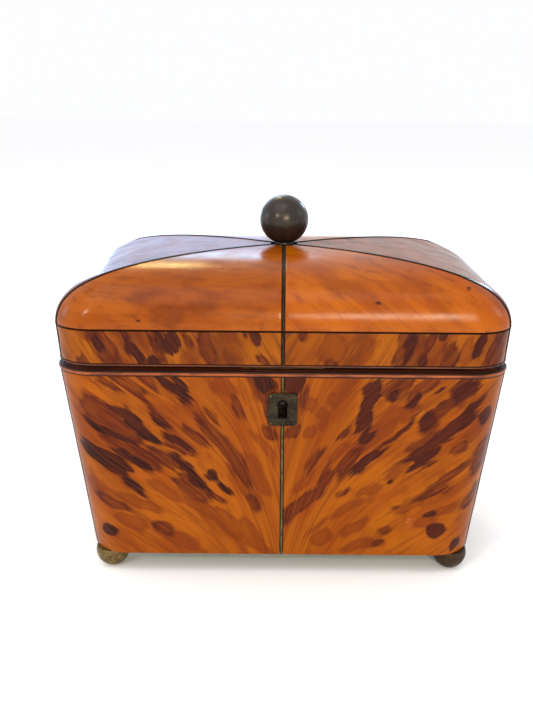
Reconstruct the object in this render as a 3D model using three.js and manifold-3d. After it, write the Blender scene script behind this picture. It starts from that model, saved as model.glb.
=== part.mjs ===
// A tortoiseshell tea caddy: a flared wooden box on ball feet, veneered with shell panels
// between metal strings, under a hinged cushion-shaped lid with a ball finial. Two lined tea
// wells stand inside, each with its own lift-off lid, and a small lock fastens the outer lid.
// Millimetres, +Z up, +X to the right, the front towards -Y. Inside the caddy group, z = 0 is
// the underside of the box and the Z axis runs up its middle.
import * as THREE from 'three';
import { mergeVertices } from 'three/addons/utils/BufferGeometryUtils.js';
import Module from 'manifold-3d';

const wasm = await Module();
wasm.setup();

// Driving dimensions.
const WIDTH = 190;
const DEPTH = 120;
const FLARE = 9.4;
const BODY_HEIGHT = 85.7;
const BODY_CORNER = 17.7;
const CORNER_SHARE = 0.7;
const SHELL = 2.2;
const GAP = 0.3;
const SEAM = 0.15;
const BOARD = 8.7;
const BOTTOM = 6;
const STRING = 1.2;

const RIM_TOP = 87.9;
const BOARD_TOP = 87.6;
const LID_BOTTOM = 89.9;
const LID_EDGE_TOP = 90.8;
const SHOULDER = 105.4;
const LID_FOOT = { x: 94.7, y: 59.4, r: 17.4 };
const LID_SHOULDER = { x: 95.8, y: 60.4, r: 17.4 };
const DOME_RISE = 25.6;
const LID_WALL = 6;
const RECESS = { x: 70, y: 38, top: 118 };

const FINIAL_RADIUS = 11.1;
const FINIAL_CENTRE = 142.4;
const STUD_RADIUS = 2.5;
const CROWN_RADIUS = 6;
const NUT = { half: 4, thick: 2.6 };

const FOOT = { x: 76.7, y: 41.2, radius: 7.5, centre: -2.4, flat: 2, stud: 1.9 };
const BAIZE = { margin: 4, corner: 22, bottom: -1 };
const WELL_TOP = 75.7;
const WELL_WALL = 1.6;
const DIVIDER = { thick: 5, top: 84 };
const INNER_LID = { bottom: 76, thick: 4, hole: 1.9 };
const KNOB = { stud: 1.7, base: 3.6, neck: 2.4, neckHeight: 1.4, radius: 4.2, centre: 4.6 };

const HINGE = {
  x: 58,
  y: DEPTH / 2 + 1.8,
  z: 88.9,
  width: 28,
  leaf: 0.6,
  barrel: 1.75,
  bore: 0.95,
  pin: 0.86,
};
const LOCK = { width: 30, depth: 6.4, height: 20, y: 8.8 - DEPTH / 2, top: 87.3, wall: 1.1 };
const PLATE = { width: 12.4, height: 15, thick: 0.8, centre: 71.7 };
const KEYHOLE = { radius: 2.3, slot: 4, drop: 6.2, above: 2.1 };
const HOOK = { half: 1.5, toe: 5, bottom: 79.4, footTop: 81.9, thick: 1.8 };

const ARC_STEPS = 6;
const FRONT_STEPS = 4;
const SIDE_STEPS = 2;
const DOME_STEPS = 9;
const ROUND = 20;

const colours = {
  shell: ['#a8551c', 0.18, 0],
  ebony: ['#2a1a12', 0.4, 0],
  pewter: ['#7d7a68', 0.4, 0.8],
  wood: ['#7a4a2a', 0.6, 0],
  brass: ['#8a6c35', 0.4, 0.9],
  finial: ['#6a6460', 0.35, 0.9],
  velvet: ['#5a1f24', 0.95, 0],
  baize: ['#23402c', 0.95, 0],
  foil: ['#9a9a98', 0.5, 0.8],
  bone: ['#d8cdb0', 0.4, 0],
};

function material(kind) {
  const [color, roughness, metalness] = colours[kind];
  return new THREE.MeshStandardMaterial({ color, roughness, metalness });
}

function piece(name, geometry, kind) {
  const mesh = new THREE.Mesh(geometry, material(kind));
  mesh.name = name;
  return mesh;
}

// ---- Closed solids from sections -------------------------------------------------------

// The volume under a triangle list, which is negative when the faces point inwards.
function signedVolume(points, triangles) {
  const [a, b, c] = [new THREE.Vector3(), new THREE.Vector3(), new THREE.Vector3()];
  let six = 0;
  for (const [i, j, k] of triangles) {
    six += a.fromArray(points[i]).dot(b.fromArray(points[j]).cross(c.fromArray(points[k])));
  }
  return six / 6;
}

function closedGeometry(points, triangles) {
  const outward = signedVolume(points, triangles) > 0;
  const facing = triangles.map(([i, j, k]) => (outward ? [i, j, k] : [i, k, j]));
  const geometry = new THREE.BufferGeometry();
  geometry.setAttribute('position', new THREE.Float32BufferAttribute(points.flat(), 3));
  geometry.setIndex(facing.flat());
  return geometry;
}

// Joins sections of equal length one after another. An open run gets a cap at each end,
// cut up in plan; a ring of sections closes on itself.
function loft(sections, { ring = false } = {}) {
  const size = sections[0].length;
  const points = sections.flat();
  const triangles = [];
  const runs = ring ? sections.length : sections.length - 1;
  for (let s = 0; s < runs; s += 1) {
    const here = s * size;
    const next = ((s + 1) % sections.length) * size;
    for (let i = 0; i < size; i += 1) {
      const j = (i + 1) % size;
      triangles.push([here + i, here + j, next + j], [here + i, next + j, next + i]);
    }
  }
  if (!ring) {
    const last = (sections.length - 1) * size;
    for (const [i, j, k] of capTriangles(sections[0])) triangles.push([i, k, j]);
    for (const [i, j, k] of capTriangles(sections.at(-1))) triangles.push([last + i, last + j, last + k]);
  }
  return closedGeometry(points, triangles);
}

// Cap triangles wind with the section's own direction, as the sides expect.
function capTriangles(section) {
  const outline = section.map(([x, y]) => new THREE.Vector2(x, y));
  const clockwise = THREE.ShapeUtils.isClockWise(outline);
  return THREE.ShapeUtils.triangulateShape(outline, []).map((face) => {
    const [a, b, c] = face.map((i) => outline[i]);
    const turn = (b.x - a.x) * (c.y - a.y) - (b.y - a.y) * (c.x - a.x);
    return turn < 0 === clockwise ? face : [face[0], face[2], face[1]];
  });
}

function level(outline, z) {
  return outline.map(([x, y]) => [x, y, z]);
}

function prism(outlineAt, bottom, top) {
  return loft([level(outlineAt(bottom), bottom), level(outlineAt(top), top)]);
}

function box(x, y, z) {
  const outline = [[x[0], y[0]], [x[1], y[0]], [x[1], y[1]], [x[0], y[1]]];
  return prism(() => outline, z[0], z[1]);
}

// ---- Booleans --------------------------------------------------------------------------

function toManifold(geometry) {
  const bare = geometry.clone();
  bare.deleteAttribute('normal');
  bare.deleteAttribute('uv');
  const merged = mergeVertices(bare, 1e-4);
  const vertProperties = merged.attributes.position.array;
  const triVerts = new Uint32Array(merged.index.array);
  return new wasm.Manifold(new wasm.Mesh({ numProp: 3, vertProperties, triVerts }));
}

function toGeometry(manifold) {
  const mesh = manifold.getMesh();
  const geometry = new THREE.BufferGeometry();
  geometry.setAttribute('position', new THREE.BufferAttribute(mesh.vertProperties, 3));
  geometry.setIndex(new THREE.BufferAttribute(mesh.triVerts, 1));
  return geometry;
}

function cut(geometry, ...cutters) {
  const subtract = (solid, cutter) => solid.subtract(toManifold(cutter));
  return toGeometry(cutters.reduce(subtract, toManifold(geometry)));
}

function join(...geometries) {
  const [first, ...others] = geometries.map(toManifold);
  return toGeometry(others.reduce((solid, other) => solid.add(other), first));
}

// ---- Round stock -----------------------------------------------------------------------

// A profile of [radius, height] pairs turned about Z, starting and ending on the axis.
function turned(profile, steps = ROUND) {
  const geometry = new THREE.LatheGeometry(profile.map(([r, z]) => new THREE.Vector2(r, z)), steps);
  return geometry.rotateX(Math.PI / 2);
}

function rod(radius, length, steps = ROUND) {
  return turned([[0, -length / 2], [radius, -length / 2], [radius, length / 2], [0, length / 2]], steps);
}

function rodAlongX(radius, length, steps) {
  return rod(radius, length, steps).rotateY(Math.PI / 2);
}

function rodAlongY(radius, length, steps) {
  return rod(radius, length, steps).rotateX(Math.PI / 2);
}

// Points of a circle of given radius and centre height between two angles from the axis.
function ballProfile(radius, centre, from, to, steps) {
  return Array.from({ length: steps + 1 }, (_, i) => {
    const angle = from + ((to - from) * i) / steps;
    return [radius * Math.sin(angle), centre - radius * Math.cos(angle)];
  });
}

// ---- Plan outlines ---------------------------------------------------------------------

function bodyHalf(z) {
  const grow = (FLARE * z) / BODY_HEIGHT - FLARE;
  return { x: WIDTH / 2 + grow, y: DEPTH / 2 + grow, r: BODY_CORNER };
}

function lidHalf(z) {
  const t = (z - LID_BOTTOM) / (SHOULDER - LID_BOTTOM);
  const mix = (key) => THREE.MathUtils.lerp(LID_FOOT[key], LID_SHOULDER[key], t);
  return { x: mix('x'), y: mix('y'), r: mix('r') };
}

function inset(half, by) {
  return { x: half.x - by, y: half.y - by, r: Math.max(half.r - by, 0.8) };
}

// Points along a rounded corner. Quadrant 0 is front right, then 1 back right, 2 back left
// and 3 front left. The arc runs anticlockwise in plan through the given share of the turn.
function corner({ x, y, r }, quadrant, from = 0, to = 1) {
  const [sx, sy] = [[1, -1], [1, 1], [-1, 1], [-1, -1]][quadrant];
  const steps = Math.max(1, Math.round(ARC_STEPS * (to - from)));
  return Array.from({ length: steps + 1 }, (_, i) => {
    const turn = quadrant - 1 + from + ((to - from) * i) / steps;
    const angle = (turn * Math.PI) / 2;
    return [sx * (x - r) + r * Math.cos(angle), sy * (y - r) + r * Math.sin(angle)];
  });
}

function roundedOutline(half) {
  return [0, 1, 2, 3].flatMap((quadrant) => corner(half, quadrant));
}

function mirrorX(outline) {
  return outline.map(([x, ...rest]) => [-x, ...rest]).reverse();
}

// A strip between an outer path and the same path further in.
function skin(path, half, thick) {
  return [...path(half), ...path(inset(half, thick)).reverse()];
}

// A point on the front right corner, the given distance from its string and positive towards
// the side. The string stands at a share of the corner's arc, and past either end of the arc
// the point runs on along the flat.
function cornerPoint({ x, y, r }, share, distance) {
  const quarter = (r * Math.PI) / 2;
  const run = share * quarter + distance;
  if (run < 0) return [x - r + run, -y];
  if (run > quarter) return [x, r - y + run - quarter];
  return [x - r + r * Math.sin(run / r), r - y - r * Math.cos(run / r)];
}

// Face paths of the box and of the lid: half the front with its part of the corner, one side
// with its parts of two corners, and the back. Each stops short of the strings beside it.
const besideString = STRING / 2 + SEAM;
function frontCorner(half, share, gap) {
  const arc = (share * half.r * Math.PI) / 2;
  return Array.from({ length: FRONT_STEPS + 1 }, (_, i) => {
    return cornerPoint(half, share, -gap - arc * (1 - i / FRONT_STEPS));
  });
}
function sideCorner(half, share, gap) {
  const arc = ((1 - share) * half.r * Math.PI) / 2;
  return Array.from({ length: SIDE_STEPS + 1 }, (_, i) => (
    cornerPoint(half, share, gap + (arc * i) / SIDE_STEPS)
  ));
}
const frontPath = (half, share = CORNER_SHARE, gap = besideString) => (
  [[besideString, -half.y], ...frontCorner(half, share, gap)]
);
const sidePath = (half, share = CORNER_SHARE, gap = besideString) => {
  const low = sideCorner(half, share, gap);
  return [...low, ...low.map(([x, y]) => [x, -y]).reverse()];
};
const backPath = (half, share = CORNER_SHARE, gap = besideString) => {
  const right = frontCorner(half, share, gap).map(([x, y]) => [x, -y]).reverse();
  return [...right, ...mirrorX(right)];
};

// The section of a string set into a corner, between its outer and its inner outline.
function cornerStringSection(outer, inner, share, width) {
  return [
    cornerPoint(outer, share, -width / 2),
    cornerPoint(outer, share, width / 2),
    cornerPoint(inner, share, width / 2),
    cornerPoint(inner, share, -width / 2),
  ];
}

// ---- Box body --------------------------------------------------------------------------

const body = new THREE.Group();

// The keyhole's space, run through everything between the escutcheon and the lock.
const keyholeHeight = PLATE.centre + KEYHOLE.above;
function keyTunnel(from, to) {
  const middle = (from + to) / 2;
  const round = rodAlongY(KEYHOLE.radius, to - from, 16).translate(0, middle, keyholeHeight);
  const slot = box(
    [-KEYHOLE.slot / 2, KEYHOLE.slot / 2],
    [from, to],
    [keyholeHeight - KEYHOLE.drop, keyholeHeight],
  );
  return join(round, slot);
}

function shellPanel(path, half) {
  return prism((z) => skin(path, half(z), SHELL), 0, BODY_HEIGHT);
}

const frontTunnel = keyTunnel(-DEPTH / 2 - 2, LOCK.y - LOCK.depth / 2 + 2);
const frontRight = shellPanel(frontPath, bodyHalf);
const frontLeft = prism((z) => mirrorX(skin(frontPath, bodyHalf(z), SHELL)), 0, BODY_HEIGHT);
const sideRight = shellPanel(sidePath, bodyHalf);
const sideLeft = prism((z) => mirrorX(skin(sidePath, bodyHalf(z), SHELL)), 0, BODY_HEIGHT);
body.add(
  piece('shell_front_right', cut(frontRight, frontTunnel), 'shell'),
  piece('shell_front_left', cut(frontLeft, frontTunnel), 'shell'),
  piece('shell_side_right', sideRight, 'shell'),
  piece('shell_side_left', sideLeft, 'shell'),
  piece('shell_back', shellPanel(backPath, bodyHalf), 'shell'),
);

// The string down the middle of the front, in two lengths that stop at the keyhole.
function frontString(bottom, top) {
  return prism((z) => {
    const { y } = bodyHalf(z);
    return [[-STRING / 2, -y], [STRING / 2, -y], [STRING / 2, SHELL - y], [-STRING / 2, SHELL - y]];
  }, bottom, top);
}
const keyholeBottom = keyholeHeight - KEYHOLE.drop;
body.add(
  piece('string_front_lower', frontString(0, keyholeBottom - 1), 'pewter'),
  piece('string_front_upper', frontString(keyholeHeight + KEYHOLE.radius + 1, BODY_HEIGHT), 'pewter'),
);

// The four upright strings in the corners, where the front or back panel meets a side panel.
function cornerString(sx, sy) {
  return prism((z) => {
    const half = bodyHalf(z);
    const section = cornerStringSection(half, inset(half, SHELL), CORNER_SHARE, STRING);
    return section.map(([x, y]) => [sx * x, -sy * y]);
  }, 0, BODY_HEIGHT);
}
const corners = [
  ['front_left', -1, -1],
  ['front_right', 1, -1],
  ['back_left', -1, 1],
  ['back_right', 1, 1],
];
for (const [place, sx, sy] of corners) {
  body.add(piece(`corner_string_${place}`, cornerString(sx, sy), 'ebony'));
}

// A band of even thickness around a rounded outline.
function band(halfAt, thick, bottom, top) {
  const rims = [bottom, top].map((z) => {
    const half = halfAt(z);
    return { outer: roundedOutline(half), inner: roundedOutline(inset(half, thick)) };
  });
  const sections = rims[0].outer.map((_, i) => [
    [...rims[0].outer[i], bottom],
    [...rims[1].outer[i], top],
    [...rims[1].inner[i], top],
    [...rims[0].inner[i], bottom],
  ]);
  return loft(sections, { ring: true });
}
body.add(piece('rim_edging', band(bodyHalf, SHELL, BODY_HEIGHT + GAP / 2, RIM_TOP), 'ebony'));

// The carcass: a bottom board under four mitred side boards.
const carcassHalf = (z) => inset(bodyHalf(z), SHELL + GAP);
const wellHalf = (z) => {
  const { x, y } = inset(carcassHalf(z), BOARD);
  return { x, y };
};

function frontBoardOutline(z) {
  const half = carcassHalf(z);
  const inner = wellHalf(z);
  const right = corner(half, 0, 0, 0.5);
  const [mx, my] = right.pop();
  const end = [mx - SEAM, my - SEAM];
  const halfOutline = [...right, end, [inner.x - 2 * SEAM, -inner.y]];
  return [...mirrorX(halfOutline), ...halfOutline];
}

function sideBoardOutline(z) {
  const half = carcassHalf(z);
  const inner = wellHalf(z);
  const low = corner(half, 0, 0.5, 1);
  const [mx, my] = low.shift();
  const rising = [[inner.x, -inner.y + 2 * SEAM], [mx + SEAM, my + SEAM], ...low];
  return [...rising, ...rising.map(([x, y]) => [x, -y]).reverse()];
}

const turnedRound = (outline) => outline.map(([x, y]) => [-x, -y]);
const boardBottom = BOTTOM + GAP;
const pocket = box(
  [-LOCK.width / 2 - GAP, LOCK.width / 2 + GAP],
  [LOCK.y - LOCK.depth / 2 - GAP, LOCK.y + LOCK.depth],
  [LOCK.top - LOCK.height - GAP, BOARD_TOP + 1],
);
body.add(
  piece('board_front', cut(prism(frontBoardOutline, boardBottom, BOARD_TOP), pocket, frontTunnel), 'wood'),
  piece('board_back', prism((z) => turnedRound(frontBoardOutline(z)), boardBottom, BOARD_TOP), 'wood'),
  piece('board_right', prism(sideBoardOutline, boardBottom, BOARD_TOP), 'wood'),
  piece('board_left', prism((z) => turnedRound(sideBoardOutline(z)), boardBottom, BOARD_TOP), 'wood'),
);

const studHoles = corners.map(([, sx, sy]) => (
  rod(FOOT.stud + GAP, 2 * BOTTOM + 2, 12).translate(sx * FOOT.x, sy * FOOT.y, 0)
));
const bottomBoard = prism((z) => roundedOutline(carcassHalf(z)), 0, BOTTOM);
body.add(piece('board_bottom', cut(bottomBoard, ...studHoles), 'wood'));

// A baize sheet under the bottom board, cut away round the feet.
function baizeOutline() {
  const { x, y } = inset(bodyHalf(0), BAIZE.margin);
  const quarter = [[x - BAIZE.corner, -y], [x, BAIZE.corner - y]];
  const right = [...quarter, ...quarter.map(([px, py]) => [px, -py]).reverse()];
  return [...right, ...right.map(([px, py]) => [-px, -py])];
}
body.add(piece('base_baize', prism(baizeOutline, BAIZE.bottom, -GAP / 2), 'baize'));

// Ball feet, turned in one piece with the stud that screws into the bottom board.
const footTop = -GAP;
const footProfile = [
  [0, FOOT.centre - Math.sqrt(FOOT.radius ** 2 - FOOT.flat ** 2)],
  ...ballProfile(
    FOOT.radius,
    FOOT.centre,
    Math.asin(FOOT.flat / FOOT.radius),
    Math.PI - Math.acos((footTop - FOOT.centre) / FOOT.radius),
    9,
  ),
  [FOOT.stud, footTop],
  [FOOT.stud, BOTTOM - GAP],
  [0, BOTTOM - GAP],
];
for (const [place, sx, sy] of corners) {
  const foot = piece(`foot_${place}`, turned(footProfile), 'brass');
  foot.position.set(sx * FOOT.x, sy * FOOT.y, 0);
  body.add(foot);
}

// ---- Tea wells -------------------------------------------------------------------------

const dividerOutline = (z) => {
  const y = Math.min(wellHalf(z).y, -LOCK.y - LOCK.depth / 2) - GAP;
  const half = DIVIDER.thick / 2;
  return [[-half, -y], [half, -y], [half, y], [-half, y]];
};
body.add(piece('divider', prism(dividerOutline, boardBottom, DIVIDER.top), 'wood'));

function wellOutline(z, wall) {
  const half = inset(wellHalf(z), GAP + wall);
  const near = DIVIDER.thick / 2 + GAP + wall;
  return [[near, -half.y], [half.x, -half.y], [half.x, half.y], [near, half.y]];
}

// A lined box without a lid: up its outside, over the rim and down to the inside floor.
function teaWell(flip) {
  const floor = boardBottom + WELL_WALL;
  const stops = [[boardBottom, 0], [WELL_TOP, 0], [WELL_TOP, WELL_WALL], [floor, WELL_WALL]];
  return loft(stops.map(([z, wall]) => level(flip(wellOutline(z, wall)), z)));
}

function innerLid(flip) {
  const low = INNER_LID.bottom;
  const outline = flip(wellOutline(low, 0.1));
  const plate = prism(() => outline, low, low + INNER_LID.thick);
  const middle = (outline[0][0] + outline[1][0]) / 2;
  return { plate: cut(plate, rod(INNER_LID.hole, 20, 12).translate(middle, 0, low)), middle };
}

const knobBase = INNER_LID.bottom + INNER_LID.thick + GAP / 2;
const knobProfile = [
  [0, INNER_LID.bottom + GAP],
  [KNOB.stud, INNER_LID.bottom + GAP],
  [KNOB.stud, knobBase],
  [KNOB.base, knobBase],
  [KNOB.neck, knobBase + KNOB.neckHeight],
  ...ballProfile(KNOB.radius, knobBase + KNOB.centre, 0.7, Math.PI, 7),
];

const wells = new THREE.Group();
for (const [side, flip] of [['left', mirrorX], ['right', (outline) => outline]]) {
  wells.add(piece(`tea_lining_${side}`, teaWell(flip), 'foil'));
  const { plate, middle } = innerLid(flip);
  const knob = piece(`inner_knob_${side}`, turned(knobProfile, 16), 'bone');
  knob.position.x = middle;
  wells.add(piece(`inner_lid_${side}`, plate, 'shell'), knob);
}

// ---- Lock ------------------------------------------------------------------------------

const lock = new THREE.Group();
const caseBottom = LOCK.top - LOCK.height;
const caseX = [-LOCK.width / 2, LOCK.width / 2];
const caseY = [LOCK.y - LOCK.depth / 2, LOCK.y + LOCK.depth / 2];
const hollow = box(
  [caseX[0] + LOCK.wall, caseX[1] - LOCK.wall],
  [caseY[0] + LOCK.wall, caseY[1] - LOCK.wall],
  [caseBottom + LOCK.wall, LOCK.top + 1],
);
const caseShell = cut(box(caseX, caseY, [caseBottom, LOCK.top]), hollow, keyTunnel(caseY[0] - 2, LOCK.y));
const keyPinLength = 9;
const keyPin = rodAlongY(0.8, keyPinLength, 12)
  .translate(0, caseY[1] - keyPinLength / 2 - 0.4, keyholeHeight);
lock.add(piece('lock_case', join(caseShell, keyPin), 'brass'));

// The selvedge plate over the case, with a slot that lets the lid's hook in.
const slotX = [-2.4, 5.8];
const selvedge = box([-17, 17], [LOCK.y - 3.6, LOCK.y + 3.4], [RIM_TOP + 0.1, RIM_TOP + 0.7]);
const hookSlot = box(slotX, [LOCK.y - 2, LOCK.y + 2], [RIM_TOP - 1, RIM_TOP + 2]);
lock.add(piece('lock_plate', cut(selvedge, hookSlot), 'brass'));

// The bolt slides along X over the foot of the hook. Its underside has a notch for the key.
const boltShape = new THREE.Shape([
  [5.9, 82.6], [8.4, 82.6], [8.4, 81.2], [12.2, 81.2], [12.2, 85.6], [5.9, 85.6],
].map(([x, z]) => new THREE.Vector2(x, z)));
const boltThick = 3;
const bolt = new THREE.ExtrudeGeometry(boltShape, { depth: boltThick, bevelEnabled: false });
bolt.rotateX(Math.PI / 2).translate(0, LOCK.y + boltThick / 2, 0);
lock.add(piece('lock_bolt', bolt, 'brass'));

// The hook plate under the lid's front rail.
const hookY = [LOCK.y - HOOK.thick / 2, LOCK.y + HOOK.thick / 2];
const hookPlate = box([-11, 11], [LOCK.y - 2.4, LOCK.y + 1.5], [LID_BOTTOM - 0.8, LID_BOTTOM - 0.2]);
const hookStem = box([-HOOK.half, HOOK.half], hookY, [HOOK.bottom, LID_BOTTOM - 0.5]);
const hookFoot = box([-HOOK.half, HOOK.toe], hookY, [HOOK.bottom, HOOK.footTop]);

// The escutcheon lies on the sloping front, so it is built flat and leaned back to match.
const lean = Math.atan(FLARE / BODY_HEIGHT);
const canted = 1.1;
const plateShape = new THREE.Shape();
const [plateX, plateZ] = [PLATE.width / 2, PLATE.height / 2];
plateShape.moveTo(-plateX + canted, -plateZ);
plateShape.lineTo(plateX - canted, -plateZ);
plateShape.lineTo(plateX, -plateZ + canted);
plateShape.lineTo(plateX, plateZ - canted);
plateShape.lineTo(plateX - canted, plateZ);
plateShape.lineTo(-plateX + canted, plateZ);
plateShape.lineTo(-plateX, plateZ - canted);
plateShape.lineTo(-plateX, -plateZ + canted);
const keyhole = new THREE.Path();
const slotAngle = Math.acos(KEYHOLE.slot / 2 / KEYHOLE.radius);
keyhole.absarc(0, KEYHOLE.above, KEYHOLE.radius, -slotAngle, Math.PI + slotAngle, false);
keyhole.lineTo(-KEYHOLE.slot / 2, KEYHOLE.above - KEYHOLE.drop);
keyhole.lineTo(KEYHOLE.slot / 2, KEYHOLE.above - KEYHOLE.drop);
plateShape.holes.push(keyhole);
const plate = new THREE.ExtrudeGeometry(plateShape, {
  depth: PLATE.thick,
  bevelEnabled: false,
  curveSegments: 12,
});
const escutcheon = piece('escutcheon', plate.rotateX(Math.PI / 2), 'brass');
escutcheon.position.set(0, -bodyHalf(PLATE.centre).y - GAP / 2, PLATE.centre);
escutcheon.rotation.x = lean;
lock.add(escutcheon);

// ---- Lid -------------------------------------------------------------------------------

const lid = new THREE.Group();
const bandBottom = LID_EDGE_TOP + SEAM;
const bandTop = SHOULDER - 0.55;
lid.add(piece('lid_edging', band(lidHalf, SHELL, LID_BOTTOM, LID_EDGE_TOP), 'ebony'));

// Band panels: two front halves, two sides and the back.
function bandPanel(path, flip = (outline) => outline) {
  return prism((z) => flip(skin(path, lidHalf(z), SHELL)), bandBottom, bandTop);
}
lid.add(
  piece('band_front_right', bandPanel(frontPath), 'shell'),
  piece('band_front_left', bandPanel(frontPath, mirrorX), 'shell'),
  piece('band_side_right', bandPanel(sidePath), 'shell'),
  piece('band_side_left', bandPanel(sidePath, mirrorX), 'shell'),
  piece('band_back', bandPanel(backPath), 'shell'),
);

// The dome. At each step its plan is the shoulder outline scaled towards the middle, with a
// corner that tightens into a crisp hip. The height follows a cubic curve that leaves the
// shoulder upright and reaches the middle level.
const domeCurve = new THREE.CubicBezierCurve(
  new THREE.Vector2(1, 0),
  new THREE.Vector2(1, 0.735),
  new THREE.Vector2(0.69, 1.06),
  new THREE.Vector2(0, 1),
);
const hipCorner = 0.8;
const domeBase = SHOULDER + GAP / 2;
function domeLevel(t, depth) {
  const { x: share, y: rise } = domeCurve.getPoint(t);
  const fade = Math.sqrt(THREE.MathUtils.smoothstep(share, 0.76, 1));
  return {
    x: (LID_SHOULDER.x - depth) * share,
    y: (LID_SHOULDER.y - depth) * share,
    r: Math.max(hipCorner, (LID_SHOULDER.r - depth) * fade),
    z: domeBase + (DOME_RISE - depth) * rise,
    hipShare: THREE.MathUtils.lerp(0.5, CORNER_SHARE, fade),
  };
}

const lastStep = 0.985;
const domeSteps = Array.from({ length: DOME_STEPS + 1 }, (_, i) => (lastStep * i) / DOME_STEPS);
const hipString = 1;
const besideHip = hipString / 2 + SEAM;

function domePanel(path, flip = (outline) => outline) {
  return loft(domeSteps.map((t) => {
    const rims = [domeLevel(t, 0), domeLevel(t, SHELL)];
    const [outer, inner] = rims.map((at) => level(path(at, at.hipShare, besideHip), at.z));
    return flip([...outer, ...inner.reverse()]);
  }));
}
lid.add(
  piece('dome_front_right', domePanel(frontPath), 'shell'),
  piece('dome_front_left', domePanel(frontPath, mirrorX), 'shell'),
  piece('dome_side_right', domePanel(sidePath), 'shell'),
  piece('dome_side_left', domePanel(sidePath, mirrorX), 'shell'),
  piece('dome_back', domePanel(backPath), 'shell'),
);

// The lid's strings: one up each corner of the band and on along the hip of the dome, one up
// the front, a ring round the shoulder, and a disc under the finial that joins them.
const lidRims = [bandBottom, SHOULDER - GAP / 2].map((z) => {
  const outer = { ...lidHalf(z), z, hipShare: CORNER_SHARE };
  return [outer, { ...inset(outer, SHELL), z, hipShare: CORNER_SHARE }];
});
const stringLevels = [...lidRims, ...domeSteps.map((t) => [domeLevel(t, 0), domeLevel(t, SHELL)])];
function hipStrip(sx, sy) {
  return loft(stringLevels.map(([outer, inner]) => {
    const heights = [outer.z, outer.z, inner.z, inner.z];
    const section = cornerStringSection(outer, inner, outer.hipShare, hipString);
    return section.map(([x, y], i) => [sx * x, -sy * y, heights[i]]);
  }));
}
const frontStrip = loft(stringLevels.map(([outer, inner]) => [
  [-STRING / 2, -outer.y, outer.z],
  [STRING / 2, -outer.y, outer.z],
  [STRING / 2, -inner.y, inner.z],
  [-STRING / 2, -inner.y, inner.z],
]));
const crown = domeLevel(1, 0).z;
const ringBottom = domeLevel(1, SHELL).z;
const crownTop = crown - 0.05;
const crownRing = turned([
  [0, ringBottom],
  [CROWN_RADIUS, ringBottom],
  [CROWN_RADIUS, crownTop],
  [0, crownTop],
]);
const shoulderRing = band(() => LID_SHOULDER, SHELL, bandTop + 0.1, SHOULDER);
const studHole = rod(STUD_RADIUS + GAP, 30).translate(0, 0, crown - 8);
const strips = corners.map(([, sx, sy]) => hipStrip(sx, sy));
const stringing = cut(join(frontStrip, ...strips, shoulderRing, crownRing), studHole);
for (const panel of lid.children.filter(({ name }) => name.startsWith('dome_'))) {
  panel.geometry = cut(panel.geometry, rod(CROWN_RADIUS + GAP, 20).translate(0, 0, crown));
}
lid.add(piece('lid_stringing', stringing, 'ebony'));

// The lid's wood: a frame behind the band and a hollowed dome board on top of it.
const lidWood = (z) => inset(lidHalf(z), SHELL + GAP);
const lidFrame = band(lidWood, LID_WALL, LID_BOTTOM, SHOULDER - GAP);
const woodDepth = SHELL + GAP;
const domeBoard = loft(domeSteps.map((t) => {
  const at = domeLevel(t, woodDepth);
  return level(roundedOutline(at), at.z);
}));
const recess = box([-RECESS.x, RECESS.x], [-RECESS.y, RECESS.y], [SHOULDER - 2, RECESS.top]);
lid.add(
  piece('lid_frame', lidFrame, 'wood'),
  piece('lid_board', cut(domeBoard, recess, studHole), 'wood'),
);

// A velvet pad in the recess, under the nut that holds the finial.
const padTop = RECESS.top - NUT.thick - 1;
const padReach = 0.5;
lid.add(piece('lid_pad', box(
  [padReach - RECESS.x, RECESS.x - padReach],
  [padReach - RECESS.y, RECESS.y - padReach],
  [padTop - 2, padTop],
), 'velvet'));

// The ball finial, turned with its collar and stud, and the square nut on the stud.
const collarBottom = crown + GAP / 2;
const collarRadius = 4.4;
const finialProfile = [
  [0, RECESS.top - NUT.thick],
  [STUD_RADIUS, RECESS.top - NUT.thick],
  [STUD_RADIUS, collarBottom],
  [collarRadius, collarBottom],
  ...ballProfile(FINIAL_RADIUS, FINIAL_CENTRE, Math.asin(collarRadius / FINIAL_RADIUS), Math.PI, 13),
];
const nutHole = rod(STUD_RADIUS + 0.1, 10).translate(0, 0, RECESS.top);
const nut = cut(
  box([-NUT.half, NUT.half], [-NUT.half, NUT.half], [RECESS.top - GAP - NUT.thick, RECESS.top - GAP]),
  nutHole,
);
lid.add(
  piece('finial', turned(finialProfile, 28), 'finial'),
  piece('finial_nut', nut, 'brass'),
  piece('lock_hook', join(hookPlate, hookStem, hookFoot), 'brass'),
);

// ---- Hinges ----------------------------------------------------------------------------

// A butt hinge: the lower leaf carries the outer knuckles and the upper leaf the middle one.
const knuckleGap = 0.2;
const middleKnuckle = 10;
const leafFront = 51;
function hingeLeaf(bottom, spans) {
  const z = [bottom, bottom + HINGE.leaf];
  const half = HINGE.width / 2;
  const leaf = box([-half, half], [leafFront, HINGE.y - HINGE.barrel - 0.3], z);
  const tabs = spans.map((span) => box(span, [leafFront + 1, HINGE.y], z));
  const knuckles = spans.map(([from, to]) => (
    rodAlongX(HINGE.barrel, to - from, 16).translate((from + to) / 2, HINGE.y, HINGE.z)
  ));
  const bore = rodAlongX(HINGE.bore, 60, 16).translate(0, HINGE.y, HINGE.z);
  return cut(join(leaf, ...tabs, ...knuckles), bore);
}
const outer = HINGE.width / 2;
const inner = middleKnuckle / 2;
const lowerLeaf = hingeLeaf(RIM_TOP + 0.1, [[-outer, -inner - knuckleGap], [inner + knuckleGap, outer]]);
const upperLeaf = hingeLeaf(LID_BOTTOM - 0.1 - HINGE.leaf, [[-inner, inner]]);
const hinges = new THREE.Group();
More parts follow.
